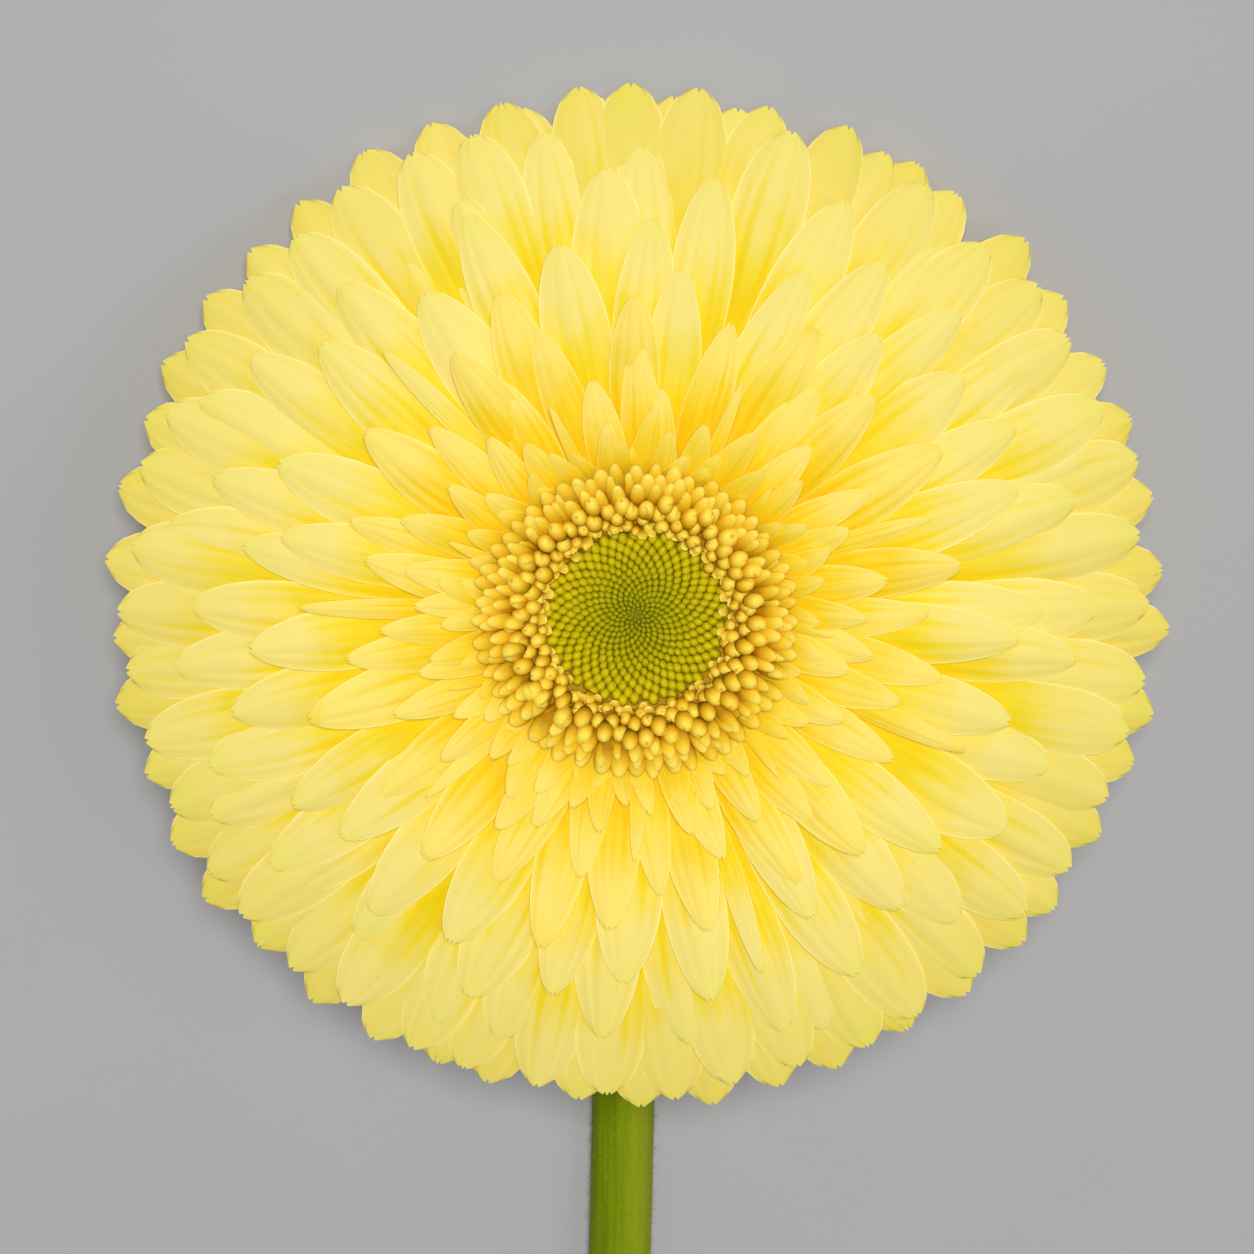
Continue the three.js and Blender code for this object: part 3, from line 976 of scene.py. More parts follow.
def join_as(name: str, objects: list[bpy.types.Object]) -> bpy.types.Object:
    """Joins objects into one piece of that name and returns it."""
    deselect_all()
    for obj in objects:
        obj.select_set(True)
    bpy.context.view_layer.objects.active = objects[0]
    if len(objects) > 1:
        bpy.ops.object.join()
    piece = bpy.context.object
    piece.name = name
    piece.data.name = name
    return piece


def remove(obj: bpy.types.Object) -> None:
    """Removes a blank that has been copied."""
    bpy.data.objects.remove(obj)


def dress(
    piece: bpy.types.Object, material: bpy.types.Material, slot: str, *nodes: str
) -> bpy.types.Object:
    """Finishes a piece and ties it to the frame.

    Args:
        piece: the piece, in place.
        material: its surface.
        slot: the record's material slot; not used.
        nodes: the CAD nodes that it stands for.

    Returns:
        The piece.
    """
    piece.data.materials.clear()
    piece.data.materials.append(material)
    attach(piece, BODY)
    if nodes:
        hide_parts(*nodes)
    log.info("%s: %d faces", piece.name, len(piece.data.polygons))
    return piece


@dataclass
class RayCrown:
    """The ray florets, counted inwards, 0 outermost: two even rows at the rim, then a spiral.

    rim_rows are the (rays, stride) of the even rows: neighbours there are a stride apart in the count, so
    that each lies well over or under the next. From the ray full_inward on, the innermost form holds.
    middle_end is where the last piece starts. Each pair of tuples gives a size by a count or a radius:
    reach_radii how far out the tips are, widths the breadths, end_lengths the rounded ends, root_outs how
    far out the short rays start, launches the slopes at the root in degrees, and tones how golden a ray
    is. Past the middle of the count, every slip_every-th ray is a slip, slip_width as wide as the rest.
    The last piece has inner_finish.
    """

    head: Head
    rays: int = 298
    full_inward: int = 257
    rim_rays: int = 92
    middle_end: int = 168
    rim_rows: tuple[tuple[int, int], ...] = ((46, 19), (46, 19))
    reach_counts: tuple[int, ...] = (0, 45, 46, 91, 92, 132, 161, 175, 194, 209, 236, 262, 297)
    reach_radii: tuple[float, ...] = (
        58.9,
        58.0,
        57.2,
        56.2,
        54.0,
        48.0,
        41.4,
        37.0,
        32.7,
        28.3,
        23.6,
        21.2,
        18.6,
    )
    width_radii: tuple[float, ...] = (18, 21, 24, 28, 33, 37, 44, 50)
    widths: tuple[float, ...] = (2.2, 2.8, 3.7, 4.3, 5.2, 6.2, 7.2, 8.0)
    end_radii: tuple[float, ...] = (24, 40, 50, 54, 57)
    end_lengths: tuple[float, ...] = (8.4, 10.6, 10.4, 9.2, 7.6)
    root_radii: tuple[float, ...] = (18.6, 22.0, 26.0)
    root_outs: tuple[float, ...] = (14.4, 13.2, 11.4)
    launch_radii: tuple[float, ...] = (18.6, 21.2, 24.0, 30.0, 40.0, 58.0)
    launches: tuple[float, ...] = (68.0, 57.0, 48.5, 35.0, 25.0, 21.0)
    tone_radii: tuple[float, ...] = (18.0, 24.0, 30.0, 40.0)
    tones: tuple[float, ...] = (0.5, 0.34, 0.15, 0.01)
    slip_every: int = 9
    slip_width: float = 0.4
    oval: float = 0.98
    radius: float = 57.5
    face_top: float = 24.0
    face_rim: float = 11.5
    sag_reach: float = 3.0
    layer_step: float = 0.02
    columns: int = 16
    rows: int = 16
    finish: PetalFinish = field(
        default_factory=lambda: PetalFinish(
            name="Lemon gerbera petal",
            end="#DBD274",
            blade="#E0D17D",
            body="#DCC730",
            throat="#D9BC06",
            crease="#D9BF20",
            margin="#FAF3AC",
            deep="#F4F2D0",
            glow="#FFDC10",
            glow_strength=0.15,
        )
    )
    inner_finish: PetalFinish = field(
        default_factory=lambda: PetalFinish(
            name="Golden gerbera petal",
            end="#E0C954",
            blade="#E7D26E",
            body="#E0C128",
            throat="#DCB206",
            crease="#DAB614",
            margin="#FAF09A",
            deep="#EFEDC6",
            glow="#FFDC10",
            glow_strength=0.15,
        )
    )

    def azimuth(self, item: int) -> float:
        """Returns where round the head a ray is, in radians."""
        first = 0
        for row, (count, stride) in enumerate(self.rim_rows):
            if item < first + count:
                slot = (item - first) * stride % count + 0.5 * row
                return (slot + jitter(0, item, 1, 0.16)) / count * math.tau
            first += count
        return item * GOLDEN_ANGLE + jitter(0, item, 1, 0.06)

    def reach(self, item: int) -> float:
        """Returns how far out a ray's tip is."""
        return float(np.interp(item, self.reach_counts, self.reach_radii))

    def width(self, reach: float) -> float:
        """Returns how wide a ray with its tip that far out is."""
        return float(np.interp(reach, self.width_radii, self.widths))

    def end_length(self, reach: float) -> float:
        """Returns how long the rounded end of a ray with its tip that far out is."""
        return float(np.interp(reach, self.end_radii, self.end_lengths))

    def face_height(self, reach: float) -> float:
        """Returns the height of the flower's domed face that far out."""
        share = max(0.0, (reach - 22) / (self.radius - 22))
        return self.face_top - (self.face_top - self.face_rim) * share**1.9

    def strap(self, item: int) -> Strap:
        """Returns the size and place of one ray."""
        inward = min(1.0, item / self.full_inward)
        loose = 0.35 if item < self.rim_rays else 1.0
        azimuth = self.azimuth(item)
        reach = self.reach(item)
        tip_out = reach * (1 + jitter(0, item, 2, 0.032 * loose))
        tip_out *= lerp(1, self.oval, math.cos(azimuth) ** 2)
        beside_ring = float(np.interp(reach, self.root_radii, self.root_outs))
        root = (max(lerp(13.1, 11.4, inward), beside_ring), lerp(13.4, 17.8, inward))
        run = (tip_out - root[0]) * 0.46
        launch = math.radians(float(np.interp(reach, self.launch_radii, self.launches)))
        layer = self.layer_step * (item % self.rim_rays - self.rim_rays / 2)
        # Short rays differ less in height and end level, or their ends would slope away from the light
        uneven = float(np.interp(reach, (20.0, 28.0), (0.3, 1.0)))
        tip_up = self.face_height(tip_out) - 0.4 + uneven * (layer + jitter(0, item, 3, 0.4 * loose))
        over = self.head.to_table(
            np.array([[math.sin(azimuth) * tip_out, math.cos(azimuth) * tip_out, tip_up]])
        )[0, 2]
        if item < self.rim_rays and over < self.sag_reach:
            tip_up -= (over - 0.3) / math.cos(self.head.tilt)
        level = float(np.interp(reach, (24.0, 32.0), (1.0, 0.0)))
        knee = (root[0] + run, lerp(root[1] + run * math.tan(launch), tip_up + 0.1, level))
        width = self.width(tip_out) * (1 + jitter(0, item, 4, 0.13) * loose)
        if item > self.rays / 2 and item % self.slip_every == 0:
            width *= self.slip_width
        return Strap(
            azimuth=azimuth,
            root=root,
            knee=knee,
            tip=(tip_out, tip_up),
            width=width,
            roll=jitter(0, item, 5, 0.1),
            sideways=jitter(0, item, 6, 1.5) * loose,
            arch=0.22 + jitter(0, item, 7, 0.07),
            folds=0.032 * width * (1 + jitter(0, item, 8, 0.5)),
            curl=jitter(0, item, 9, 0.4) * loose,
            end_length=self.end_length(reach) * (1 + jitter(0, item, 10, 0.12)),
            end_power=float(np.interp(reach, (18.6, 24.0, 32.0, 58.0), (0.55, 0.66, 0.72, 0.5))),
            end_width=0.16,
            tip_style=Tip.TOOTHED if draw(0, item, 11) < 0.35 else Tip.NOTCHED,
            tooth=lerp(0.55, 0.3, inward),
            fade=lerp(21.0, 13.0, inward) * (1 + jitter(0, item, 14, 0.15)),
            rests=item < self.rim_rays,
            tone=jitter(0, item, 12, 0.06) + float(np.interp(reach, self.tone_radii, self.tones)),
            # The outermost rays take the deep colour: painted shade, darker and greener at the rim
            depth=max(0.0, 1.0 - inward * 2.6) + abs(jitter(0, item, 13, 0.12)),
            phase=item * 3.7,
        )

    def build(self) -> list[bpy.types.Object]:
        """Models the rays as three pieces, from the rim inwards, and returns them."""
        blank = flat_blank("ray_blank", self.columns, self.rows)
        points = points_of(blank)
        pale, golden = self.finish.material(), self.inner_finish.material()
        thirds = {
            "outer_rays": (0, self.rim_rays, pale),
            "middle_rays": (self.rim_rays, self.middle_end, pale),
            "inner_rays": (self.middle_end, self.rays, golden),
        }
        pieces = []
        for name, (first, last, material) in thirds.items():
            copies = [
                copy_shaped(blank, self.head.lay(points, self.strap(item))) for item in range(first, last)
            ]
            pieces.append(dress(join_as(name, copies), material, "ray_florets", "ray_florets"))
        remove(blank)
        return pieces


@dataclass(frozen=True)
class Bead:
    """One closed floret: where its crest is, how big it is and how it leans, in mm and radians.

    slender is its breadth along the head's radius over its breadth across, and cleft is how far its
    seam draws it in, as a share of its radius.
    """

    azimuth: float
    out: float
    crest: float
    length: float
    radius: float
    lean: float
    spin: float = 0.0
    tone: float = 0.0
    depth: float = 0.0
    fold: float = 1.0
    slender: float = 1.0
    cleft: float = 0.0


def lay_bead(head: Head, blank: np.ndarray, bead: Bead, oval: float) -> Shaped:
    """Puts a unit bead, which stands from 0 to 1 on its foot, in its place.

    Args:
        head: the head that it is on.
        blank: (n, 3) points of the unit bead, of radius 1.
        bead: its place and size.
        oval: the whole set's height up the face over its breadth.

    Returns:
        The shape, on the table's frame.
    """
    from_seam = np.arctan2(blank[:, 0], blank[:, 1])
    drawn_in = 1 - bead.cleft * np.exp(-((from_seam / 0.5) ** 2)) * smooth(blank[:, 2] / 0.6)
    pinched = blank * np.stack((drawn_in, drawn_in, np.ones(len(blank))), axis=1)
    spun = pinched @ np.array(Matrix.Rotation(bead.spin, 3, "Z")).T
    sized = spun * np.array((bead.radius, bead.radius * bead.slender, bead.length))
    leaned = (sized - (0, 0, bead.length)) @ np.array(Matrix.Rotation(-bead.lean, 3, "X")).T
    turned = leaned @ np.array(Matrix.Rotation(-bead.azimuth, 3, "Z")).T
    place = (
        math.sin(bead.azimuth) * bead.out,
        math.cos(bead.azimuth) * bead.out * oval,
        bead.crest,
    )
    values = {"rise": blank[:, 2], "tone": bead.tone, "depth": bead.depth, "fold": bead.fold}
    return Shaped(head.to_table(turned + np.array(place)) * MM, blank[:, :2], values)


def bead_blank(name: str, foot: float, segments: int, rings: int) -> bpy.types.Object:
    """Models a unit bead from 0 to 1 high.

    Args:
        name: the object's name.
        foot: its radius at the foot, where 1 is at its widest.
        segments: faces round it.
        rings: faces up it.

    Returns:
        The bead.
    """
    deselect_all()
    bpy.ops.mesh.primitive_uv_sphere_add(segments=segments, ring_count=rings, radius=1)
    blank = bpy.context.object
    blank.name = name
    points = points_of(blank)
    up = (points[:, 2] + 1) / 2
    taper = foot + (1 - foot) * smooth(up / 0.5)
    points[:, 0] *= taper
    points[:, 1] *= taper
    points[:, 2] = up
    set_points(blank.data, points)
    bpy.ops.object.shade_smooth()
    return blank


def spiral_radii(inner: float, outer: float, size: Callable[[float], float]) -> list[float]:
    """Spaces a spiral so that everything in it takes up its own room.

    Args:
        inner: where it starts.
        outer: where it ends.
        size: gives the breadth of what sits that far out.

    Returns:
        The radii, from the middle outwards.
    """
    radii = []
    area = inner * inner
    while area < outer * outer:
        radii.append(math.sqrt(area))
        area += PACKING * size(radii[-1]) ** 2 / math.pi
    return radii


def drawn_disc(slope: tuple[tuple[float, float], ...]) -> bpy.types.Object:
    """Models a round solid from a disc that is drawn in or out and lifted ring by ring.

    Args:
        slope: the (radius, height) pairs of its rings in mm, in order from its underside.

    Returns:
        The solid, on the head's axis, with its first ring at height 0.
    """
    deselect_all()
    bpy.ops.mesh.primitive_circle_add(vertices=BED_SIDES, radius=slope[0][0], fill_type="NGON")
    solid = bpy.context.object
    bpy.ops.object.mode_set(mode="EDIT")
    bpy.ops.mesh.select_all(action="SELECT")
    for (last_out, last_up), (out, up) in zip(slope, slope[1:]):
        bpy.ops.mesh.extrude_region_move(TRANSFORM_OT_translate={"value": (0, 0, up - last_up)})
        share = out / last_out
        bpy.ops.transform.resize(value=(share, share, 1))
    bpy.ops.mesh.select_all(action="SELECT")
    bpy.ops.mesh.normals_make_consistent(inside=False)
    bpy.ops.object.mode_set(mode="OBJECT")
    return solid


def build_bed(
    name: str,
    head: Head,
    slope: tuple[tuple[float, float], ...],
    oval: float,
    finish: BeadFinish,
    node: str,
    rise: float,
) -> bpy.types.Object:
    """Models the round bed that florets stand on.

    Args:
        name: the piece's name.
        head: the head that it is in.
        slope: (radius, height) pairs in mm from its underside's edge inwards to its middle.
        oval: its height up the face over its breadth.
        finish: its surface.
        node: the CAD node that it belongs to, which it hides; it is also passed on as the unused slot.
        rise: how far up a bud it takes its colour from; low down, that is the painted shade of the buds'
            feet.

    Returns:
        The piece.
    """
    bed = drawn_disc(slope)
    points = points_of(bed) * (1, oval, 1) + (0, 0, slope[0][1])
    set_points(bed.data, head.to_table(points) * MM)
    # The bed takes the buds' colour low on the ramp: painted shade between the florets
    set_values(bed.data, {"rise": rise, "tone": 0.0, "depth": 0.0, "fold": 0.45})
    bpy.ops.object.shade_smooth_by_angle(angle=math.radians(40))
    bed.name = name
    return dress(bed, finish.material(), node, node)


@dataclass
class GoldenRing:
    """The ring of short florets: small open ones inside, beads, then hoods that lean on the rays.

    hood_rows are (hoods, radius and height of their crests) of each row.
    """

    head: Head
    inner: float = 10.1
    outer: float = 14.8
    hood_rows: tuple[tuple[int, float, float], ...] = (
        (52, 16.0, 24.1),
        (53, 16.9, 23.9),
        (52, 17.9, 23.7),
    )
    mouths: int = 50
    oval: float = 0.97
    finish: BeadFinish = field(
        default_factory=lambda: BeadFinish(
            name="Golden waxy floret bud",
            foot="#6E4600",
            body="#E4AE14",
            crest="#FFE052",
            seam="#B8860C",
            deep="#D09A00",
            seam_strength=0.6,
        )
    )
    hood_finish: BeadFinish = field(
        default_factory=lambda: BeadFinish(
            name="Golden hooded floret",
            foot="#BE8606",
            body="#F0C224",
            crest="#FFE05E",
            seam="#D09A14",
            deep="#D09A00",
            seam_strength=0.35,
        )
    )
    mouth_finish: PetalFinish = field(
        default_factory=lambda: PetalFinish(
            name="Pale open floret mouth",
            end="#F4DE6C",
            blade="#E8CA3E",
            body="#CEA414",
            throat="#946A04",
            crease="#D4AA22",
            margin="#F8E88C",
            deep="#F0D890",
            glow="#FFC800",
            glow_strength=0.02,
            crease_strength=0.3,
            width_mm=1.2,
            fade_mm=1.8,
        )
    )

    def bead_breadth(self, out: float) -> float:
        """Returns how broad a bead that far out is."""
        share = max(0.0, (out - self.inner) / (self.outer - self.inner))
        return lerp(1.2, 2.15, share**0.6)

    def crest_height(self, out: float) -> float:
        """Returns the height of the ring's crests that far out."""
        share = (out - self.inner) / (self.outer - self.inner)
        return 22.5 + 2.1 * math.sin(min(1.0, share) * math.pi / 2)

    def bead(self, item: int, out: float) -> Bead:
        """Returns the size and place of one bead, counted outwards."""
        share = (out - self.inner) / (self.outer - self.inner)
        return Bead(
            azimuth=item * GOLDEN_ANGLE + jitter(2, item, 4, 0.015),
            out=out + jitter(2, item, 8, 0.2),
            crest=self.crest_height(out) + jitter(2, item, 3, 0.35),
            length=lerp(2.6, 3.4, share),
            radius=self.bead_breadth(out) / 2 * (1.04 + jitter(2, item, 5, 0.16)),
            lean=lerp(-0.1, 0.6, share) + jitter(2, item, 1, 0.3),
            spin=draw(2, item, 6) * math.tau,
            tone=jitter(2, item, 7, 0.07) + 0.05 * share,
            fold=draw(2, item, 9),
            slender=lerp(1.0, 1.2, share),
            cleft=0.45 * draw(2, item, 9),
        )

    def hood(self, row: int, item: int) -> Bead:
        """Returns the size and place of one hood: a bud stretched outwards. Each row lies lower."""
        count, out, crest = self.hood_rows[row]
        use = 100 * row + item
        return Bead(
            azimuth=(item + 0.5 * row + jitter(3, use, 1, 0.2)) / count * math.tau,
            out=out + jitter(3, use, 2, 0.35),
            crest=crest + jitter(3, use, 3, 0.25),
            length=4.4,
            radius=0.88 + 0.08 * row + jitter(3, use, 4, 0.16),
            lean=0.95 + 0.12 * row + jitter(3, use, 5, 0.18),
            spin=jitter(3, use, 6, 0.4),
            tone=jitter(3, use, 7, 0.08),
            fold=0.5,
            slender=0.7,
            cleft=0.3 * draw(3, use, 8),
        )

    def mouth(self, item: int) -> list[Strap]:
        """Returns the three blunt lobes of one open floret beside the eye."""
        azimuth = (item + jitter(5, item, 1, 0.4)) / self.mouths * math.tau
        out = 10.4 + jitter(5, item, 2, 0.6)
        up = 22.1 + jitter(5, item, 3, 0.35)
        outward = (-0.75, 0.15, 0.85)
        return [
            Strap(
                azimuth=azimuth + (lobe - 1) * 0.055 + jitter(6, 3 * item + lobe, 1, 0.02),
                root=(out, up - 1.9),
                knee=(out + 0.5 * outward[lobe], up + 0.1),
                tip=(out + outward[lobe] + jitter(6, 3 * item + lobe, 2, 0.25), up - 0.1 * lobe),
                width=1.2 + jitter(6, 3 * item + lobe, 4, 0.2),
                thickness=0.4,
                roll=jitter(6, 3 * item + lobe, 5, 0.5),
                arch=0.7,
                folds=0.0,
                end_length=0.9,
                end_width=0.35,
                foot_width=0.8,
                tip_style=Tip.WHOLE,
                tooth=0.0,
                fade=1.8,
                tone=jitter(6, 3 * item + lobe, 6, 0.15),
                phase=item * 1.9,
            )
            for lobe in range(3)
        ]

    def build_straps(
        self, name: str, straps: list[Strap], finish: PetalFinish, columns: int, rows: int
    ) -> bpy.types.Object:
        """Models one piece of small straps and returns it."""
        flat = flat_blank(name + "_blank", columns, rows)
        points = points_of(flat)
        copies = [copy_shaped(flat, self.head.lay(points, strap)) for strap in straps]
        remove(flat)
        return dress(join_as(name, copies), finish.material(), "trans_florets", "trans_florets")

    def build(self) -> list[bpy.types.Object]:
        """Models the beads, the hoods, the open florets and their bed and returns the four pieces."""
        blank = bead_blank("bead_blank", 0.6, 14, 10)
        points = points_of(blank)
        radii = spiral_radii(self.inner, self.outer, self.bead_breadth)
        beads = [self.bead(item, out) for item, out in enumerate(radii)]
        hoods = [
            self.hood(row, item)
            for row, (count, _, _) in enumerate(self.hood_rows)
            for item in range(count)
        ]
        rounds = {
            "golden_buds": (beads, self.finish),
            "golden_hoods": (hoods, self.hood_finish),
        }
        pieces = []
        for name, (florets, finish) in rounds.items():
            copies = [
                copy_shaped(blank, lay_bead(self.head, points, floret, self.oval)) for floret in florets
            ]
            pieces.append(dress(join_as(name, copies), finish.material(), "trans_florets", "trans_florets"))
        remove(blank)
        mouths = [strap for item in range(self.mouths) for strap in self.mouth(item)]
        log.info("%d beads, %d hoods, %d mouth lobes", len(beads), len(hoods), len(mouths))
        slope = ((9.4, 15.0), (15.4, 18.6), (15.0, 21.6), (11.0, 20.8), (9.5, 20.0), (9.0, 17.6))
        return [
            *pieces,
            build_bed("golden_bed", self.head, slope, self.oval, self.finish, "trans_florets", 0.6),
            self.build_straps("open_mouths", mouths, self.mouth_finish, 4, 4),
        ]


@dataclass
class GreenEye:
    """The disc: hundreds of closed green buds in spirals, smallest in the middle, on a shallow dish."""

    head: Head
    first_radius: float = 0.12
    radius: float = 9.9
    inner_breadth: float = 0.44
    outer_breadth: float = 1.18
    oval: float = 0.955
    dish_edge: float = 21.4
    dish_middle: float = 19.8
    finish: BeadFinish = field(
        default_factory=lambda: BeadFinish(
            name="Green closed disc bud",
            foot="#665E00",
            body="#B4A400",
            crest="#D6C204",
            seam="#A09400",
            deep="#7C8804",
            seam_strength=0.25,
            roughness=0.6,
            gloss=0.12,
        )
    )

    def breadth(self, out: float) -> float:
        """Returns how broad a bud that far out is."""
        return lerp(self.inner_breadth, self.outer_breadth, out / self.radius)

    def crest_height(self, out: float) -> float:
        """Returns the height of the crests that far out: a shallow dish with a dimple."""
        dish = lerp(self.dish_middle, self.dish_edge, (out / self.radius) ** 1.5)
        return dish - 0.9 * math.exp(-((out / 0.7) ** 2))

    def bud(self, item: int, out: float) -> Bead:
        """Returns the size and place of one bud, counted outwards."""
        share = out / self.radius
        return Bead(
            azimuth=item * GOLDEN_ANGLE,
            out=out,
            crest=self.crest_height(out) + jitter(4, item, 4, 0.05),
            length=lerp(1.0, 1.7, share),
            radius=self.breadth(out) / 2 * (1.05 + jitter(4, item, 1, 0.06)),
            lean=lerp(-0.35, -0.1, share) + jitter(4, item, 5, 0.08),
            spin=draw(4, item, 2) * math.tau,
            tone=jitter(4, item, 3, 0.06),
            depth=max(0.0, 0.8 - 0.95 * share),
            slender=1.25,
        )

    def build(self) -> list[bpy.types.Object]:
        """Models the buds and the dish that they stand on and returns both pieces."""
        blank = bead_blank("bud_blank", 0.85, 10, 8)
        points = points_of(blank)
        radii = spiral_radii(self.first_radius, self.radius, self.breadth)
        log.info("%d disc buds", len(radii))
        copies = [
            copy_shaped(blank, lay_bead(self.head, points, self.bud(item, out), self.oval))
            for item, out in enumerate(radii)
        ]
        remove(blank)
        slope = ((9.0, 17.0), (9.7, 19.0), (9.7, 20.6), (7.0, 19.8), (3.0, 19.2), (0.3, 19.0))
        return [
            dress(join_as("disc_buds", copies), self.finish.material(), "disc_florets", "disc_florets"),
            build_bed("disc_bed", self.head, slope, self.oval, self.finish, "disc_florets", 0.48),
        ]


@dataclass
class Stalk:
    """The lying stem with its neck, and the down on it."""

    head: Head
    length: float = 340.0
    cut_radius: float = 4.1
    neck_radius: float = 3.0
    sway: float = 5.0
    sides: int = 48
    lying_rings: int = 60
    neck_rings: int = 24
    hairs: int = 5200
    hair_radius: float = 0.035
    hair_sunk: float = 0.08
    finish: StalkFinish = field(default_factory=StalkFinish)
    down: DownFinish = field(default_factory=DownFinish)

    def station(self, share: np.ndarray) -> tuple[np.ndarray, np.ndarray, np.ndarray]:
        """Follows the stem from its cut end, 0, to the top of its neck, 1.

        Returns:
            The middle line (n, 3) in mm, the radius (n,) and how far the stem is turned up (n,).
        """
        head = self.head
        neck_length = head.neck_bend * head.turn
        distance = share * (self.length + neck_length)
        lying = np.clip(distance / self.length, 0, 1)
        turned = np.clip((distance - self.length) / neck_length, 0, 1)
        radius = np.where(
            turned > 0,
            head.stem_radius + (self.neck_radius - head.stem_radius) * turned,
            self.cut_radius + (head.stem_radius - self.cut_radius) * lying,
        )
        flat = math.cos(math.pi / head.stem_sides)
        pitch = turned * head.turn
        x = -self.sway * np.sin(math.pi * lying) * (1 - lying) + head.neck_drift * smooth(turned)
        y = head.neck_start - self.length * (1 - lying) + head.neck_bend * np.sin(pitch)
        z = np.where(
            turned > 0,
            head.stem_radius * flat + head.neck_bend * (1 - np.cos(pitch)),
            radius * flat,
        )
        return np.stack((x, y, z), axis=1), radius, pitch

    def skin(self, share: np.ndarray, around: np.ndarray, proud: np.ndarray) -> np.ndarray:
        """Finds points on the skin or proud of it, with the flat that the stem rests on.

        Args:
            share: how far along the stem each is, 0 to 1.
            around: its angle round the stem, from the right.
            proud: how far it stands off the skin, in mm.

        Returns:
            The points (n, 3) in metres.
        """
        centre, radius, pitch = self.station(share)
        flat = math.cos(math.pi / self.head.stem_sides)
        ribs = 0.05 * np.cos(7 * around + 9 * share) + 0.03 * np.cos(17 * around - 14 * share)
        reach = radius * 0.985 + ribs + proud
        side = np.cos(around) * reach
        up = np.sin(around) * reach
        up = np.where(pitch > 0, up, np.maximum(up, -radius * flat))
        over = np.maximum(centre[:, 2] + up * np.cos(pitch), 0)
        points = np.stack((centre[:, 0] + side, centre[:, 1] - up * np.sin(pitch), over), axis=1)
        return points * MM

    def build_skin(self) -> bpy.types.Object:
        """Models the stem: a disc extruded ring by ring, then laid along its line."""
        rings = self.lying_rings + self.neck_rings
        deselect_all()
        bpy.ops.mesh.primitive_circle_add(vertices=self.sides, radius=1, fill_type="NGON")
        stem = bpy.context.object
        bpy.ops.object.mode_set(mode="EDIT")
        bpy.ops.mesh.select_all(action="SELECT")
        for _ in range(rings):
            bpy.ops.mesh.extrude_region_move(TRANSFORM_OT_translate={"value": (0, 0, 1)})
        bpy.ops.mesh.select_all(action="SELECT")
        bpy.ops.mesh.normals_make_consistent(inside=False)
        bpy.ops.object.mode_set(mode="OBJECT")
        points = points_of(stem)
        around = np.arctan2(points[:, 1], points[:, 0])
        step = points[:, 2]
        lying_share = self.length / (self.length + self.head.neck_bend * self.head.turn)
        share = np.where(
            step <= self.lying_rings,
            lying_share * step / self.lying_rings,
            lying_share + (1 - lying_share) * (step - self.lying_rings) / self.neck_rings,
        )
        placed = self.skin(share, around, np.zeros(len(points)))
        set_points(stem.data, placed)
        layer = stem.data.uv_layers.active or stem.data.uv_layers.new(name="UVMap")
        corners = np.empty(len(stem.data.loops), np.int32)
        stem.data.loops.foreach_get("vertex_index", corners)
        unrolled = np.stack((around / math.tau % 1, share), axis=1)[corners]
        layer.data.foreach_set("uv", unrolled.astype(np.float32).ravel())
        bpy.ops.object.mode_set(mode="EDIT")
        bpy.ops.mesh.select_all(action="SELECT")
        bpy.ops.mesh.normals_make_consistent(inside=False)
        bpy.ops.object.mode_set(mode="OBJECT")
        bpy.ops.object.shade_smooth_by_angle(angle=math.radians(50))
        stem.name = "stalk"
        return dress(stem, self.finish.material(), "stem", "stem")

    def build_down(self) -> bpy.types.Object:
        """Models the down: short hairs of three sides, all over the stem but not under it."""
        deselect_all()
        bpy.ops.mesh.primitive_cone_add(vertices=3, radius1=1, depth=1, location=(0, 0, 0.5))
        hair = bpy.context.object
        bpy.ops.object.transform_apply(location=True, rotation=False, scale=False)
        shape = points_of(hair)
        item = np.arange(self.hairs)
        chance = [
            np.modf(np.abs(np.sin(item * rate + 1.7)) * 9631.7)[0] for rate in (12.9, 7.3, 3.1, 5.7)
        ]
        share = 0.004 + 0.992 * chance[0]
        around = -0.5 + (math.pi + 1.0) * chance[1]
        proud = 0.35 + 0.45 * chance[2]
        foot = self.skin(share, around, np.full(self.hairs, -self.hair_sunk))
        tip = self.skin(
            share + 0.0009 * (chance[3] - 0.2), around + 0.16 * (chance[2] - 0.5), proud
        )
        copies_points = np.empty((self.hairs, len(shape), 3))
        across = np.cross(tip - foot, (0.2, 1.0, 0.1))
        across /= np.linalg.norm(across, axis=1)[:, None]
        along = tip - foot
        third = np.cross(along, across)
        third /= np.linalg.norm(third, axis=1)[:, None]
        for number, (x, y, z) in enumerate(shape):
            off_line = (across * x + third * y) * self.hair_radius * MM
            copies_points[:, number] = foot + along * z + off_line
        down = self.many(hair, copies_points)
        remove(hair)
        return dress(down, self.down.material(), "stem")

    def many(self, blank: bpy.types.Object, points: np.ndarray) -> bpy.types.Object:
        """Repeats a blank by doubling it, then gives every copy its own points.

        Args:
            blank: one hair.
            points: (copies, points of one, 3), in metres.

        Returns:
            One piece with all the copies.
        """
        deselect_all()
        mesh = blank.data.copy()
        piece = bpy.data.objects.new("stalk_down", mesh)
        bpy.context.scene.collection.objects.link(piece)
        bpy.context.view_layer.objects.active = piece
        piece.select_set(True)
        array = piece.modifiers.new("Repeat", "ARRAY")
        array.count = len(points)
        bpy.ops.object.modifier_apply(modifier=array.name)
        set_points(piece.data, points)
        piece.data.update()
        return piece

    def build(self) -> list[bpy.types.Object]:
        """Models the stem and its down and returns both pieces."""
        return [self.build_skin(), self.build_down()]


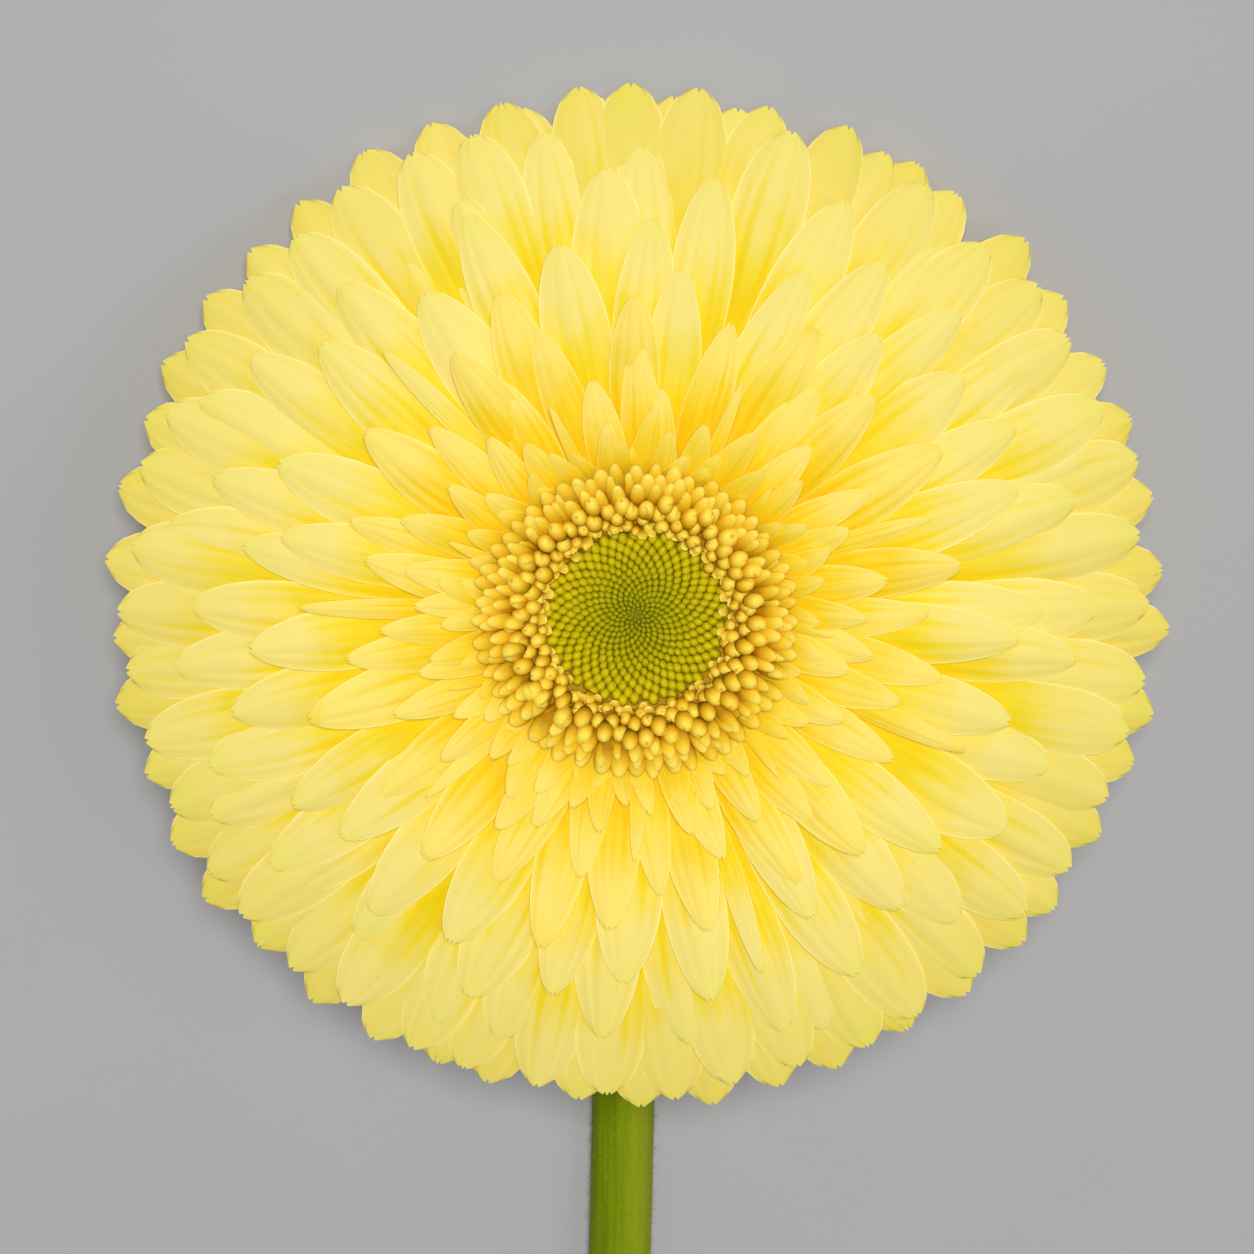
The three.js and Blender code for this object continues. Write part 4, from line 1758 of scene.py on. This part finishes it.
@dataclass
class Calyx:
    """The green cup behind the head, in overlapping rows of bracts.

    cup holds the (radius, height) pairs of the receptacle that they grow on, from the neck outwards.
    """

    head: Head
    cup: tuple[tuple[float, float], ...] = (
        (2.9, -0.2),
        (4.2, 0.4),
        (6.5, 1.5),
        (9.5, 3.1),
        (12.5, 5.2),
        (14.6, 7.6),
        (15.8, 10.2),
        (15.4, 12.6),
        (13.0, 14.2),
    )
    finish: PetalFinish = field(
        default_factory=lambda: PetalFinish(
            name="Green gerbera bract",
            end="#6F5A33",
            blade="#6E8C34",
            body="#77943C",
            throat="#8CA44C",
            crease="#5C7A2A",
            margin="#8FA65A",
            deep="#A8B888",
            glow="#406000",
            glow_strength=0.01,
            width_mm=4.5,
            fade_mm=9.0,
        )
    )

    def bracts(self) -> list[Strap]:
        """Returns the bracts of all rows."""
        rows = [
            (24, (13.4, 5.2), (17.4, 8.6), (19.0, 11.5), 4.4),
            (22, (10.0, 2.4), (16.0, 5.6), (18.4, 9.6), 4.6),
            (20, (6.4, 1.1), (13.8, 3.2), (17.0, 7.0), 4.8),
            (14, (3.2, 0.5), (9.6, 1.0), (13.4, 4.0), 4.6),
        ]
        return [
            Strap(
                azimuth=(item + 0.5 * row) / count * math.tau + jitter(20 + row, item, 1, 0.06),
                root=root,
                knee=knee,
                tip=(tip[0] + jitter(20 + row, item, 2, 0.3), tip[1] + jitter(20 + row, item, 3, 0.5)),
                width=width,
                thickness=0.5,
                arch=0.25,
                folds=0.1,
                end_length=6.5,
                end_power=0.7,
                end_width=0.1,
                foot_width=0.7,
                tip_style=Tip.WHOLE,
                tooth=0.0,
                fade=9.0,
                tone=jitter(20 + row, item, 4, 0.08),
                depth=0.2 * draw(20 + row, item, 5),
            )
            for row, (count, root, knee, tip, width) in enumerate(rows)
            for item in range(count)
        ]

    def build_cup(self) -> bpy.types.Object:
        """Models the cup that the bracts grow on and returns it."""
        cup = drawn_disc(self.cup)
        points = points_of(cup) + (0, 0, self.cup[0][1])
        set_points(cup.data, self.head.to_table(points) * MM)
        set_values(cup.data, {"tone": 0.3, "depth": 0.6, "phase": 0.0})
        bpy.ops.object.shade_smooth_by_angle(angle=math.radians(40))
        cup.name = "receptacle"
        return dress(cup, self.finish.material(), "involucre", "involucre")

    def build(self) -> list[bpy.types.Object]:
        """Models the cup and its bracts and returns both pieces."""
        flat = flat_blank("bract_blank", 6, 10)
        points = points_of(flat)
        copies = [copy_shaped(flat, self.head.lay(points, strap)) for strap in self.bracts()]
        remove(flat)
        bracts = dress(join_as("bracts", copies), self.finish.material(), "involucre", "involucre")
        return [self.build_cup(), bracts]


@dataclass
class Studio:
    """A plain board, soft light from where the camera stands, and the camera."""

    head: Head
    view_tilt: float = math.radians(34.5)
    distance: float = 900.0
    image_px: float = 1254.0
    px_per_mm: float = 9.17
    eye_px: tuple[float, float] = (636.0, 617.0)
    eye_height: float = 20.4
    key_watts: float = 134.0
    side_watts: float = 7.0
    surround_strength: float = 0.18
    floor: FloorFinish = field(default_factory=FloorFinish)

    def towards_camera(self) -> Vector:
        """Returns the direction from the flower's face to the camera."""
        return Vector((0, math.sin(self.view_tilt), math.cos(self.view_tilt)))

    def build_floor(self) -> None:
        """Adds the board that the flower lies on."""
        deselect_all()
        bpy.ops.mesh.primitive_plane_add(size=12)
        board = bpy.context.object
        board.name = "studio_board"
        board.data.materials.append(self.floor.material())

    def build_camera(self) -> None:
        """Aims the camera so that the eye is at its place in the photograph."""
        back = self.towards_camera()
        up = Vector((0, math.cos(self.view_tilt), -math.sin(self.view_tilt)))
        right = up.cross(back)
        eye = Vector(self.head.to_table(np.array([[0, 0, self.eye_height]]))[0])
        half = self.image_px / 2
        aim = eye - right * ((self.eye_px[0] - half) / self.px_per_mm)
        aim += up * ((self.eye_px[1] - half) / self.px_per_mm)
        data = bpy.data.cameras.new("photo_camera")
        data.sensor_fit = "HORIZONTAL"
        data.angle = 2 * math.atan(half / (self.px_per_mm * self.distance))
        data.clip_start = 0.01
        data.clip_end = 50
        camera = bpy.data.objects.new("photo_camera", data)
        bpy.context.scene.collection.objects.link(camera)
        turn = Matrix((right, up, back)).transposed().to_4x4()
        camera.matrix_world = Matrix.Translation((aim + back * self.distance) * MM) @ turn
        bpy.context.scene.camera = camera

    def add_area(
        self, name: str, direction: Vector, distance: float, size: float, watts: float
    ) -> None:
        """Adds one soft light that faces the head.

        Args:
            name: the light's name.
            direction: from the head to the light.
            distance: how far away it is, in mm.
            size: its side, in mm.
            watts: its power.
        """
        data = bpy.data.lights.new(name, "AREA")
        data.shape = "DISK"
        data.size = size * MM
        data.energy = watts
        lamp = bpy.data.objects.new(name, data)
        bpy.context.scene.collection.objects.link(lamp)
        unit = direction.normalized()
        target = Vector(self.head.to_table(np.array([[0, 0, self.eye_height]]))[0])
        turn = unit.to_track_quat("Z", "Y").to_matrix().to_4x4()
        lamp.matrix_world = Matrix.Translation((target + unit * distance) * MM) @ turn

    def build_light(self) -> None:
        """Adds the key round the camera, a weaker light from the right, and an even white surround."""
        back = self.towards_camera()
        self.add_area("key_softbox", back + Vector((0.02, 0.04, 0)), 4000, 700, self.key_watts)
        self.add_area("side_softbox", Vector((0.8, 0.4, 1.3)), 2800, 1400, self.side_watts)
        world = bpy.data.worlds.new("soft_surround")
        world.use_nodes = True
        background = world.node_tree.nodes["Background"]
        background.inputs["Color"].default_value = (1, 1, 1, 1)
        background.inputs["Strength"].default_value = self.surround_strength
        bpy.context.scene.world = world

    def build(self) -> None:
        """Sets the stage."""
        self.build_floor()
        self.build_camera()
        self.build_light()
        bpy.context.scene.view_settings.view_transform = "Standard"


def main() -> None:
    """Builds the flower round its frame, piece by piece."""
    logging.basicConfig(level=logging.INFO, format="%(name)s: %(message)s")
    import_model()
    head = Head()
    for maker in (RayCrown(head), GoldenRing(head), GreenEye(head), Stalk(head), Calyx(head)):
        pieces = maker.build()
        log.info("%s done: %d pieces", type(maker).__name__, len(pieces))
    Studio(head).build()


if __name__ == "__main__":
    main()
